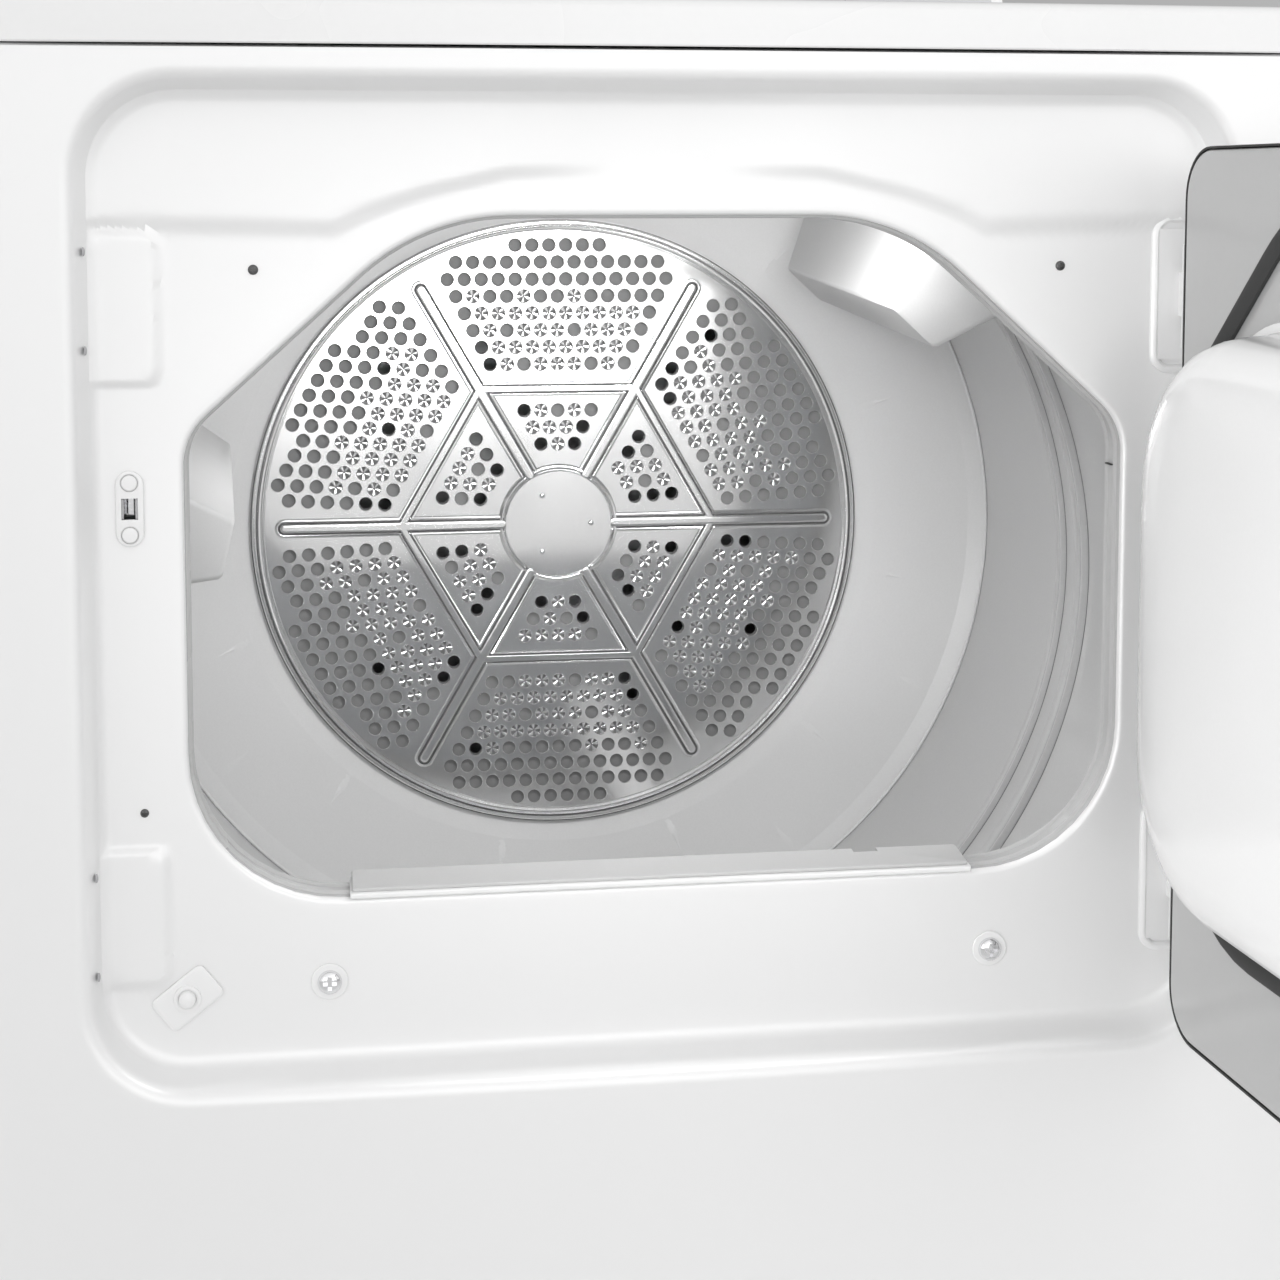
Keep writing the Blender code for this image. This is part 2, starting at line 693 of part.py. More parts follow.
def capsule(start, end, radius, steps=8):
    """The outline of a bar with round ends."""
    along = Vector(end) - Vector(start)
    heading = atan2(along.y, along.x)
    loop = []
    for centre, base in ((end, heading - pi / 2), (start, heading + pi / 2)):
        for k in range(steps + 1):
            a = base + pi * k / steps
            loop.append((centre[0] + radius * cos(a), centre[1] + radius * sin(a)))
    return loop


# ---------------------------------------------------------------- drum
def build_drum(drum):
    """Shell, conical back, perforated disc's blank, lifters and shaft."""
    r, wall = DRUM_R, SHEET
    shell = tube("drum_shell", (0, DRUM_Y[0], DRUM_Z), (0, DRUM_Y[1], DRUM_Z), r, r - wall, 60)
    finish_part(shell, drum, "grey_enamel")
    profile = [
        (r, DRUM_Y[1] + GAP),
        (r, DRUM_Y[1] + 1.5 * SHEET),
        (BACK_R, BACK_Y + 0.0040),
        (0.2280, BACK_Y + 0.0040),
        (0.2280, BACK_Y + 0.0028),
        (BACK_R, BACK_Y + 0.0028),
    ]
    back = turned("drum_back", profile, (0, DRUM_Z), 60)
    finish_part(back, drum, "grey_enamel")
    front_y, rear_y = DISC_Y - 0.003, DISC_Y + 0.0010
    disc = turned(
        "air_diffuser",
        [
            (0.0, rear_y),
            (DISC_R, rear_y),
            (DISC_R, DISC_Y),
            (DISC_R - 0.006, front_y),
            (DISC_R - 0.012, DISC_Y),
            (0.0450, DISC_Y),
            (0.0420, front_y),
            (0.0, front_y),
        ],
        (0, DRUM_Z),
        48,
        closed=False,
    )
    finish_part(disc, drum, "bright_steel")
    ribs = []
    for k in range(3):
        rib = box(f"diffuser_rib_{k}", (-0.219, front_y, -0.0045), (0.219, DISC_Y + 0.0007, 0.0045))
        rib.data.transform(Matrix.Translation((0, 0, DRUM_Z)) @ Matrix.Rotation(k * pi / 3, 4, "Y"))
        ribs.append(rib)
    combine(disc, ribs, "UNION")
    shaft = rod("drum_shaft", (0, DISC_Y + 0.0020, DRUM_Z), (0, 0.6640, DRUM_Z), 0.010)
    finish_part(shaft, drum, "bright_steel")
    flange = rod("shaft_flange", (0, DISC_Y + 0.0020, DRUM_Z), (0, DISC_Y + 0.0050, DRUM_Z), 0.040)
    combine(shaft, [flange], "UNION")
    for k, angle in enumerate((47, 167, 287)):
        build_lifter(drum, f"drum_lifter_{k + 1}", radians(angle))


def build_lifter(drum, name, angle):
    """A hollow wedge that lifts the clothes: broad and open at the drum wall, narrow at its crest."""
    foot_r = DRUM_R - SHEET - 0.0065
    rings = []
    for radius, half_w, front, rear in (
        (foot_r, 0.048, 0.075, 0.490),
        (foot_r - 0.020, 0.038, 0.085, 0.480),
        (foot_r - 0.062, 0.024, 0.105, 0.462),
        (foot_r - 0.070, 0.016, 0.115, 0.455),
    ):
        corners = ((-half_w, front), (half_w, front), (half_w, rear), (-half_w, rear))
        rings.append([(u, v, radius) for u, v in corners])
    lifter = loft(name, rings, close_ends=True)
    lifter.data.transform(Matrix.Translation((0, 0, DRUM_Z)) @ Matrix.Rotation(pi / 2 - angle, 4, "Y"))
    thicken(lifter, 0.0025, -1.0)
    finish_part(lifter, drum, "grey_plastic")


# ---------------------------------------------------------------- front fittings
def build_fittings(cabinet, screen, plunger):
    """Sill, lint screen, catch and door switch."""
    sill = box("sill_trim", (-0.172, 0.0005, 0.4258), (0.172, 0.0250, 0.4362))
    finish_part(sill, cabinet, "white_plastic")
    slot = box("sill_slot", (-0.1620, 0.0060, 0.42), (0.1620, 0.0195, 0.44))
    combine(sill, [slot])
    lint = box("lint_screen", (-0.1610, 0.0068, 0.150), (0.1610, 0.0187, 0.4362))
    finish_part(lint, screen, "grey_plastic")
    window = box("screen_window", (-0.150, 0.0, 0.165), (0.150, 0.0090, 0.420))
    window_back = box("screen_window_back", (-0.150, 0.0110, 0.165), (0.150, 0.03, 0.420))
    combine(lint, [window, window_back])

    x, z = CATCH_X, CATCH_Z
    stadium = capsule((x, z - 0.01275), (x, z + 0.01275), 0.0070)
    slot_loop = rounded_rect((x - 0.0038, x + 0.0038), (z - 0.0078, z + 0.0078), 0.001, 2)
    plate_part = plate("catch_plate", [stadium, slot_loop], -0.0030, -0.0020)
    finish_part(plate_part, cabinet, "white_plastic")
    outer = [
        (x - 0.0050, -0.0015),
        (x - 0.0050, 0.0150),
        (x + 0.0050, 0.0150),
        (x + 0.0050, -0.0015),
        (x + 0.0044, -0.0015),
        (x + 0.0044, 0.0144),
        (x - 0.0044, 0.0144),
        (x - 0.0044, -0.0015),
    ]
    catch = plate("door_catch", [outer], z - 0.0070, z + 0.0070, "XY")
    finish_part(catch, cabinet, "bright_steel")

    x, z = SWITCH_X, SWITCH_Z
    pad = rounded_rect((-0.0165, 0.0165), (-0.0100, 0.0100), 0.003, 3)
    tilt = radians(SWITCH_TILT)
    turned_pad = [(x + u * cos(tilt) - v * sin(tilt), z + u * sin(tilt) + v * cos(tilt)) for u, v in pad]
    switch = plate("door_switch_plate", [turned_pad, circle((x, z), 0.0052, 20)], -0.0034, -0.0020)
    finish_part(switch, cabinet, "white_plastic")
    barrel = tube("switch_barrel", (x, -0.0028, z), (x, 0.0240, z), 0.0080, 0.0052, 20)
    combine(switch, [barrel], "UNION")
    stem = rod("door_switch_plunger", (x, -0.0080, z), (x, 0.0150, z), 0.0046, segments=20)
    finish_part(stem, plunger, "white_plastic")


def build_hinges(cabinet, door):
    """Two butt hinges, each a leaf and pin on the recess and a leaf on the door."""
    ax, ay = HINGE_X, HINGE_Y
    for name, z in zip(("lower", "upper"), HINGE_ZS):
        leaf = box(f"{name}_hinge_leaf", (ax - 0.0130, -0.0040, z - 0.036), (ax + 0.0130, -0.0021, z + 0.036))
        finish_part(leaf, cabinet, "white_enamel")
        web = box(f"{name}_web", (ax - 0.0012, ay, z - 0.012), (ax + 0.0012, -0.0030, z + 0.012))
        knuckle = rod(f"{name}_knuckle", (ax, ay, z - 0.012), (ax, ay, z + 0.012), 0.0050, segments=16)
        pin = rod(f"{name}_pin", (ax, ay, z - 0.030), (ax, ay, z + 0.030), 0.0025, segments=16)
        combine(leaf, [web, knuckle, pin], "UNION")
        low, high = (ax - 0.0102, ay - 0.0050, z - 0.028), (ax - 0.0087, ay + 0.0100, z + 0.028)
        hook = box(f"{name}_door_leaf", low, high)
        finish_part(hook, door, "white_enamel")
        tools = []
        for k, (low, high) in enumerate(((z - 0.028, z - 0.0125), (z + 0.0125, z + 0.028))):
            ear = box(f"{name}_ear_{k}", (ax - 0.0090, ay - 0.0022, low), (ax, ay + 0.0022, high))
            ring = rod(f"{name}_ring_{k}", (ax, ay, low), (ax, ay, high), 0.0050, segments=16)
            tools += [ear, ring]
        combine(hook, tools, "UNION")
        bore = rod(f"{name}_bore", (ax, ay, z - 0.04), (ax, ay, z + 0.04), 0.0028, segments=16)
        combine(hook, [bore])


# ---------------------------------------------------------------- door
def door_outline(inset):
    """The door's edge: wide corners on the latch side, which clear the recess, and tighter hinge corners."""
    (x0, x1), (z0, z1) = DOOR_X, DOOR_Z
    latch_r, hinge_r = DOOR_CORNERS
    left, right, low, high = x0 + inset, x1 - inset, z0 + inset, z1 - inset
    corners = [(left, low, latch_r), (right, low, hinge_r), (right, high, hinge_r), (left, high, latch_r)]
    return rounded([(u, v, radius - inset) for u, v, radius in corners], 5)


def build_door(door):
    """Outer skin, inner panel, dish, seal, strike and pull."""
    (y0, y1) = DOOR_Y
    skin = plate("door_outer", [door_outline(0.0)], y0, y1 - 0.0015)
    finish_part(skin, door, "white_enamel", bevel=0.005)
    hollow = plate("door_hollow", [door_outline(0.0012)], y0 + 0.0012, 0.01)
    pull_hole = plate("pull_hole", [rounded_rect((-0.284, -0.252), (0.565, 0.665), 0.012, 4)], -0.05, -0.02)
    combine(skin, [hollow, pull_hole])

    dish_hole = rounded_rect((-0.222, 0.222), (0.461, 0.730), 0.070, 5)
    inner = plate("door_inner", [door_outline(0.0005), dish_hole], y1 - 0.0012, y1)
    finish_part(inner, door, "white_enamel")

    rings = []
    steps = ((0.0, y1 + SHEET, 0.085), (0.004, 0.020, 0.085), (0.012, 0.036, 0.080), (0.026, DISH_Y, 0.070))
    for inset, y, radius in steps:
        x = (-DISH_HALF_W + inset, DISH_HALF_W - inset)
        z = (DISH_Z[0] + inset, DISH_Z[1] - inset)
        rings.append([(u, y, v) for u, v in rounded_rect(x, z, radius, 6)])
    dish = loft("door_dish", rings, close_ends=True)
    thicken(dish, 0.0025, -1.0)
    finish_part(dish, door, "white_plastic")

    seal = plate("door_seal", [opening_outline(0.0205), opening_outline(0.0110)], y1 + GAP, -0.0024)
    finish_part(seal, door, "black_rubber")

    x, z = CATCH_X, CATCH_Z
    strike = box("door_strike", (x - 0.0014, y1 + GAP, z - 0.0050), (x + 0.0014, 0.0060, z + 0.0050))
    finish_part(strike, door, "bright_steel")
    foot = box("strike_foot", (x - 0.0060, y1 + GAP, z - 0.0120), (x + 0.0060, y1 + 0.0018, z + 0.0120))
    combine(strike, [foot], "UNION")

    cup_loop = rounded_rect((-0.2834, -0.2526), (0.5656, 0.6644), 0.0114, 4)
    cup = plate("door_pull", [cup_loop], y0 + 0.0002, -0.0135)
    finish_part(cup, door, "grey_plastic")
    pocket_loop = rounded_rect((-0.2816, -0.2544), (0.5674, 0.6626), 0.0100, 4)
    pocket = plate("pull_pocket", [pocket_loop], -0.05, -0.0153)
    combine(cup, [pocket])


# ---------------------------------------------------------------- console
def build_console(cabinet, controls):
    """Housing, fascia, timer, knobs and button."""
    half = WIDTH / 2 - 0.004
    (low_y, high_y), low_z, high_z = CONSOLE_Y, CONSOLE_Z, CONSOLE_TOP_Z
    slope = Vector((high_y - low_y, high_z - 0.012 - low_z)).normalized()
    normal = Vector((0, -slope.y, slope.x))
    side = [
        (low_y + 0.003, low_z),
        (high_y + 0.003, high_z - 0.012),
        (high_y + 0.014, high_z),
        (REAR_Y, high_z),
        (REAR_Y, low_z),
    ]
    body = plate("console_body", [side], -half, half, "YZ")
    finish_part(body, cabinet, "white_enamel")
    hollow_side = [
        (low_y + 0.005, low_z - 0.01),
        (low_y + 0.0055, low_z + 0.002),
        (high_y + 0.006, high_z - 0.0135),
        (high_y + 0.015, high_z - 0.002),
        (REAR_Y - 0.002, high_z - 0.002),
        (REAR_Y - 0.002, low_z - 0.01),
    ]
    hollow = plate("console_hollow", [hollow_side], -half + 0.002, half - 0.002, "YZ")
    base = Vector((0, low_y + 0.003, low_z)) + Vector((0, slope.x, slope.y)) * KNOB_UP
    holes = []
    for name, x in KNOB_X.items():
        middle = base + Vector((x, 0, 0))
        holes.append(rod(f"{name}_hole", middle - normal * 0.03, middle + normal * 0.03, 0.0070, segments=16))
    combine(body, [hollow, *holes])

    lift = [(0.012, -half + 0.010), (0.158, -half + 0.010), (0.158, half - 0.010), (0.012, half - 0.010)]
    face = rounded([(v, u, 0.008) for u, v in lift], 3)
    fascia_holes = [circle((x, KNOB_UP), 0.0070, 16) for x in KNOB_X.values()]
    fascia = plate("console_fascia", [face, *fascia_holes], GAP, 0.0020, "XZ")
    tilt = atan2(slope.x, slope.y)
    foot = Vector((0, low_y + 0.003, low_z))
    facing_out = Matrix.Rotation(-tilt, 4, "X") @ Matrix.Scale(-1, 4, (0, 1, 0))
    fascia.data.transform(Matrix.Translation(foot) @ facing_out)
    fascia.data.flip_normals()
    finish_part(fascia, cabinet, "white_plastic")

    for name, x in KNOB_X.items():
        place = base + Vector((x, 0, 0))
        radius = KNOB_R[name]
        height = 0.012 if name == "start_button" else 0.022
        gap = 0.0062 if name == "start_button" else 0.0030
        knob = rod(name, place + normal * gap, place + normal * (gap + height), radius, radius * 0.88, 40)
        finish_part(knob, controls[name], "white_plastic")
        ends = place - normal * 0.012, place + normal * (gap + 0.002)
        combine(knob, [rod(f"{name}_stem", *ends, 0.0045, segments=16)], "UNION")
    place = base + Vector((KNOB_X["cycle_knob"], 0, 0))
    timer = rod("cycle_timer", place - normal * 0.050, place - normal * 0.0125, 0.026, segments=24)
    finish_part(timer, cabinet, "grey_plastic")

    cover = box("terminal_cover", (-0.312, REAR_Y + GAP, 0.128), (-0.228, REAR_Y + 0.024, 0.212))
    finish_part(cover, cabinet, "zinc_steel", bevel=0.003)
    inside = box("cover_hollow", (-0.310, REAR_Y - 0.01, 0.130), (-0.230, REAR_Y + 0.022, 0.210))
    cord_hole = rod("cord_hole", (-0.270, REAR_Y + 0.012, 0.12), (-0.270, REAR_Y + 0.012, 0.14), 0.009)
    combine(cover, [inside, cord_hole])


def console_axis():
    """A point on the console's face at the middle of the knobs' row, and the face's outward normal."""
    (low_y, high_y), low_z, high_z = CONSOLE_Y, CONSOLE_Z, CONSOLE_TOP_Z
    slope = Vector((high_y - low_y, high_z - 0.012 - low_z)).normalized()
    normal = Vector((0, -slope.y, slope.x))
    return Vector((0, low_y + 0.003, low_z)) + Vector((0, slope.x, slope.y)) * KNOB_UP, normal


def main():
    clear_scene()
    collection(PARTS)
    collection(CUTTERS)
    root = body_empty("root_frame", (0, 0, 0), None)
    root.location = (0, ROOT_Y, 0)
    door = body_empty("door_axis", (HINGE_X, HINGE_Y, 0), root, (0, 0, radians(DOOR_OPEN)))
    drum = body_empty("drum_axis", (0, 0, DRUM_Z), root)
    rotor = body_empty("motor_axis", (MOTOR_X, 0, MOTOR_Z), root)
    arm = body_empty("idler_arm_axis", (IDLER_PIVOT[0], 0, IDLER_PIVOT[1]), root)
    ix, iz = idler_centre()
    idler = body_empty("idler_pulley_axis", (ix, 0, iz), arm)
    screen = body_empty("lint_screen_slide", (0, 0.01275, 0.30), root)
    plunger = body_empty("switch_plunger_slide", (SWITCH_X, 0, SWITCH_Z), root)
    face, _ = console_axis()
    controls = {
        name: body_empty(f"{name}_axis", tuple(face + Vector((x, 0, 0))), root) for name, x in KNOB_X.items()
    }

    build_shell(root)
    build_front_panel(root)
    build_duct_screws(root)
    build_front_bulkhead(root)
    build_rear_duct(root)
    build_air_path(root)
    build_drive(root, rotor, arm, idler)
    build_drum(drum)
    build_fittings(root, screen, plunger)
    build_hinges(root, door)
    build_door(door)
    build_console(root, controls)


if __name__ == "__main__":
    main()
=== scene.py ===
"""The looks of a side-swing clothes dryer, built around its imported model.

Every piece is modelled in cabinet coordinates, in metres: X to the right, Y into the dryer from the front of the
recess floor's sheet, Z up from the floor. Door pieces are modelled with the door shut. Assembly.deliver moves each
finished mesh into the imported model's own frame and swings the door's pieces open with it.
"""

import json
import logging
from dataclasses import dataclass, field
from enum import Enum
from math import acos, atan2, cos, exp, hypot, pi, radians, sin, tan
from typing import Callable, Iterable, Optional, Sequence

import bmesh
import bpy
from mathutils import Matrix, Vector


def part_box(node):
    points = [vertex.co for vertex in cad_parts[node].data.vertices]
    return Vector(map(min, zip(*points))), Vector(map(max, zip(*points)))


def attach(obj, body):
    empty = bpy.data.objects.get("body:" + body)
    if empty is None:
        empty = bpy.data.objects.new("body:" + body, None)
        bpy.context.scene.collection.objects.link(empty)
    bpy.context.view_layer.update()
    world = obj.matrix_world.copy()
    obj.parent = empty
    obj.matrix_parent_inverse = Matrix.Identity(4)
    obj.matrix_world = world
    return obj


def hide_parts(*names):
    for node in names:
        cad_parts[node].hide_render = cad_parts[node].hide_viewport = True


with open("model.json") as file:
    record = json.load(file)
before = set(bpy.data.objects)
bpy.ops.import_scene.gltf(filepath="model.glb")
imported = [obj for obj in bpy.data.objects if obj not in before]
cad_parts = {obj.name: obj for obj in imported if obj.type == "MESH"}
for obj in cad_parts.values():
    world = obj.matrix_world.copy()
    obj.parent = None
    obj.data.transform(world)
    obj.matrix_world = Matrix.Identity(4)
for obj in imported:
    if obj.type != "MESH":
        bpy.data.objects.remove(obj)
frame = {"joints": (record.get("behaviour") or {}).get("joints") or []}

log = logging.getLogger("dryer")
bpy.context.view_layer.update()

Point2 = tuple[float, float]
Point3 = tuple[float, float, float]
Outline = list[Point2]
Ring = list[Point3]

REAR_Y = 0.668
SMOOTH_ANGLE = radians(32)
COAT_ROUGHNESS = 0.08
WEAR_RATIO = 40.0
CATCH: Point2 = (-0.283, 0.650)
SWITCH: Point2 = (-0.258, 0.387)
DUCT_SCREWS_X: Point2 = (-0.183, 0.183)
DUCT_SCREWS_Z = 0.392
SCREEN_SLOT_X = 0.1635
SCREEN_SLOT_Y: Point2 = (0.0050, 0.0205)


# ---------------------------------------------------------------- outlines
def rounded(corners: Sequence[tuple[float, float, float]], steps: int = 8) -> Outline:
    """Rounds a polygon's corners with arcs that touch both sides.

    Args:
        corners: (u, v, radius) for each corner, in order.
        steps: Straight pieces in each arc.

    Returns:
        The closed outline's points.
    """
    outline: Outline = []
    for i, (u, v, radius) in enumerate(corners):
        here = Vector((u, v))
        back = (Vector(corners[i - 1][:2]) - here).normalized()
        ahead = (Vector(corners[(i + 1) % len(corners)][:2]) - here).normalized()
        half = acos(max(-1.0, min(1.0, back.dot(ahead)))) / 2
        start = here + back * radius / tan(half)
        centre = here + (back + ahead).normalized() * radius / sin(half)
        first = start - centre
        sweep = (pi - 2 * half) * (1 if back.x * ahead.y - back.y * ahead.x < 0 else -1)
        for k in range(steps + 1):
            a = sweep * k / steps
            outline.append(
                (centre.x + first.x * cos(a) - first.y * sin(a), centre.y + first.x * sin(a) + first.y * cos(a))
            )
    return outline


def rounded_rect(u: Point2, v: Point2, radius: float, steps: int = 8) -> Outline:
    """A rounded rectangle between two u values and two v values."""
    corners = ((u[0], v[0]), (u[1], v[0]), (u[1], v[1]), (u[0], v[1]))
    return rounded([(*corner, radius) for corner in corners], steps)


def inset_rect(u: Point2, v: Point2, radius: float, inset: float) -> Outline:
    """A rounded rectangle drawn in by an inset, with its corners tighter by as much."""
    return rounded_rect((u[0] + inset, u[1] - inset), (v[0] + inset, v[1] - inset), radius - inset)


def circle(centre: Point2, radius: float, steps: int = 48) -> Outline:
    """A round outline about a centre."""
    turns = [2 * pi * k / steps for k in range(steps)]
    return [(centre[0] + radius * cos(a), centre[1] + radius * sin(a)) for a in turns]


def capsule(start: Point2, end: Point2, radius: float, steps: int = 10) -> Outline:
    """The outline of a bar with round ends."""
    heading = atan2(end[1] - start[1], end[0] - start[0])
    loop: Outline = []
    for centre, base in ((end, heading - pi / 2), (start, heading + pi / 2)):
        for k in range(steps + 1):
            a = base + pi * k / steps
            loop.append((centre[0] + radius * cos(a), centre[1] + radius * sin(a)))
    return loop


def between(start: Sequence[Point2], end: Sequence[Point2], share: float) -> Outline:
    """The outline that lies a share of the way from one outline to another."""
    return [(a[0] + (b[0] - a[0]) * share, a[1] + (b[1] - a[1]) * share) for a, b in zip(start, end)]


def on_ray(outline: Outline, centre: Point2, angle: float) -> Point2:
    """Finds where a ray leaves a closed outline.

    Args:
        outline: The closed outline.
        centre: The ray's start, inside the outline.
        angle: The ray's direction in radians.

    Returns:
        The point where the ray crosses the outline.
    """
    ray_u, ray_v = cos(angle), sin(angle)
    best = 0.0
    for a, b in zip(outline, outline[1:] + outline[:1]):
        first_u, first_v = a[0] - centre[0], a[1] - centre[1]
        side_u, side_v = b[0] - a[0], b[1] - a[1]
        cross = ray_u * side_v - ray_v * side_u
        if abs(cross) < 1e-12:
            continue
        distance = (first_u * side_v - first_v * side_u) / cross
        share = (first_u * ray_v - first_v * ray_u) / cross
        if -1e-9 <= share <= 1 + 1e-9 and distance > best:
            best = distance
    return (centre[0] + ray_u * best, centre[1] + ray_v * best)


def smooth(value: float) -> float:
    """A soft step from 0 to 1 as value goes from 0 to 1."""
    t = max(0.0, min(1.0, value))
    return t * t * (3 - 2 * t)


def fillet(radius: float, steps: int = 5) -> list[Point2]:
    """A quarter arc as (across, along) shares of its radius, from the flat to the wall."""
    turns = [pi / 2 * k / steps for k in range(steps + 1)]
    return [(radius * (1 - sin(turn)), radius * (1 - cos(turn))) for turn in turns]


def upright(outline: Outline, y: float) -> Ring:
    """Stands an (x, z) outline up at a depth."""
    return [(x, y, z) for x, z in outline]


# ---------------------------------------------------------------- modelling bench
class Bench:
    """The modelling moves that the sub-assemblies share, each made with Blender's operators."""

    @staticmethod
    def clear() -> None:
        """Leaves edit mode and deselects everything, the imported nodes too."""
        if bpy.context.object and bpy.context.object.mode != "OBJECT":
            bpy.ops.object.mode_set(mode="OBJECT")
        bpy.ops.object.select_all(action="DESELECT")

    @staticmethod
    def pick(obj: bpy.types.Object) -> None:
        """Makes obj the only selected object and the active one."""
        Bench.clear()
        obj.select_set(True)
        bpy.context.view_layer.objects.active = obj

    @staticmethod
    def skin(
        name: str,
        rings: Sequence[Ring],
        caps: tuple[bool, bool] = (False, False),
        looped: bool = False,
    ) -> bpy.types.Object:
        """Draws a circle into the first ring and extrudes it through the others.

        Args:
            name: The new object's name.
            rings: Rings of points, each with the same count.
            caps: Whether to close the first and the last ring with a face.
            looped: Whether the last ring joins the first.

        Returns:
            The new object, with its faces turned outwards if it is closed.
        """
        Bench.clear()
        bpy.ops.mesh.primitive_circle_add(vertices=len(rings[0]), radius=1.0)
        obj = bpy.context.object
        obj.name = obj.data.name = name
        bpy.ops.object.mode_set(mode="EDIT")
        mesh = bmesh.from_edit_mesh(obj.data)
        place, _ = (mesh.verts.layers.int.new(layer) for layer in ("place", "row"))
        for k, vert in enumerate(mesh.verts):
            vert[place] = k
            vert.co = rings[0][k]
        bmesh.update_edit_mesh(obj.data)
        for number, ring in enumerate([*rings[1:], rings[0]] if looped else rings[1:], 1):
            bpy.ops.mesh.extrude_region()
            mesh = bmesh.from_edit_mesh(obj.data)
            place, row = mesh.verts.layers.int["place"], mesh.verts.layers.int["row"]
            for vert in mesh.verts:
                if vert.select:
                    vert.co = ring[vert[place]]
                    vert[row] = number
            bmesh.update_edit_mesh(obj.data)
        last = len(rings) - 1
        for wanted, number in zip(caps, (0, last)):
            if wanted:
                Bench.select_verts(obj, lambda vert, row=row, number=number: vert[row] == number)
                bpy.ops.mesh.edge_face_add()
        bpy.ops.mesh.select_all(action="SELECT")
        bpy.ops.mesh.remove_doubles(threshold=0.000004)
        bpy.ops.mesh.normals_make_consistent(inside=False)
        bpy.ops.object.mode_set(mode="OBJECT")
        for layer in ("place", "row"):
            obj.data.attributes.remove(obj.data.attributes[layer])
        return obj

    @staticmethod
    def select_verts(obj: bpy.types.Object, test: Callable[[bmesh.types.BMVert], bool]) -> None:
        """Selects, in edit mode, only the vertices that pass a test and the edges and faces between them."""
        bpy.ops.mesh.select_all(action="DESELECT")
        bpy.ops.mesh.select_mode(type="VERT")
        mesh = bmesh.from_edit_mesh(obj.data)
        for vert in mesh.verts:
            vert.select = test(vert)
        mesh.select_flush(True)
        bmesh.update_edit_mesh(obj.data)

    @staticmethod
    def turned(
        name: str,
        profile: Sequence[Point2],
        centre: Point2 = (0.0, 0.0),
        steps: int = 48,
        caps: tuple[bool, bool] = (False, False),
        looped: bool = False,
    ) -> bpy.types.Object:
        """A shape turned about the Y axis through an (x, z) centre, from (radius, y) points."""
        rings = [upright(circle(centre, max(r, 0.00002), steps), y) for r, y in profile]
        return Bench.skin(name, rings, caps, looped)

    @staticmethod
    def slab(name: str, outline: Outline, y: Point2) -> bpy.types.Object:
        """A plate standing in the XZ plane between two depths."""
        return Bench.skin(name, [upright(outline, y[0]), upright(outline, y[1])], (True, True))

    @staticmethod
    def settled(name: str) -> bpy.types.Object:
        """Names the active object and applies its place, turn and scale."""
        obj = bpy.context.object
        obj.name = obj.data.name = name
        bpy.ops.object.transform_apply(location=True, rotation=True, scale=True)
        return obj

    @staticmethod
    def block(name: str, low: Point3, high: Point3, bevel: float = 0.0, segments: int = 3) -> bpy.types.Object:
        """A cube brought to size between two corners, with its edges rounded."""
        Bench.clear()
        bpy.ops.mesh.primitive_cube_add(size=1.0, location=(Vector(low) + Vector(high)) / 2)
        bpy.context.object.scale = Vector(high) - Vector(low)
        obj = Bench.settled(name)
        return Bench.bevelled(obj, bevel, segments) if bevel else obj

    @staticmethod
    def rod(
        name: str, start: Point3, end: Point3, radius: float, vertices: int = 24, bevel: float = 0.0
    ) -> bpy.types.Object:
        """A cylinder laid between two points."""
        Bench.clear()
        along = Vector(end) - Vector(start)
        turn = Vector((0, 0, 1)).rotation_difference(along).to_euler()
        middle = (Vector(start) + Vector(end)) / 2
        bpy.ops.mesh.primitive_cylinder_add(
            vertices=vertices, radius=radius, depth=along.length, location=middle, rotation=turn
        )
        obj = Bench.settled(name)
        return Bench.bevelled(obj, bevel, 2) if bevel else obj

    @staticmethod
    def apply(obj: bpy.types.Object) -> bpy.types.Object:
        """Applies every modifier on obj, in order."""
        Bench.pick(obj)
        for modifier in [m.name for m in obj.modifiers]:
            bpy.ops.object.modifier_apply(modifier=modifier)
        return obj

    @staticmethod
    def bevelled(obj: bpy.types.Object, width: float, segments: int) -> bpy.types.Object:
        """Rounds the edges that turn by more than 35 degrees."""
        modifier = obj.modifiers.new("rounding", "BEVEL")
        modifier.width = width
        modifier.segments = segments
        modifier.angle_limit = radians(35)
        modifier.miter_outer = "MITER_ARC"
        return Bench.apply(obj)

    @staticmethod
    def walled(obj: bpy.types.Object, thickness: float) -> bpy.types.Object:
        """Gives an open skin its sheet's thickness, behind its faces."""
        modifier = obj.modifiers.new("wall", "SOLIDIFY")
        modifier.thickness = thickness
        modifier.offset = -1.0
        modifier.use_even_offset = True
        return Bench.apply(obj)

    @staticmethod
    def facing(obj: bpy.types.Object, direction: Point3) -> bpy.types.Object:
        """Turns an open skin's faces so that, on the whole, they look along a direction."""
        toward = Vector(direction)
        if sum(face.area * face.normal.dot(toward) for face in obj.data.polygons) < 0:
            Bench.pick(obj)
            bpy.ops.object.mode_set(mode="EDIT")
            bpy.ops.mesh.select_all(action="SELECT")
            bpy.ops.mesh.flip_normals()
            bpy.ops.object.mode_set(mode="OBJECT")
        return obj

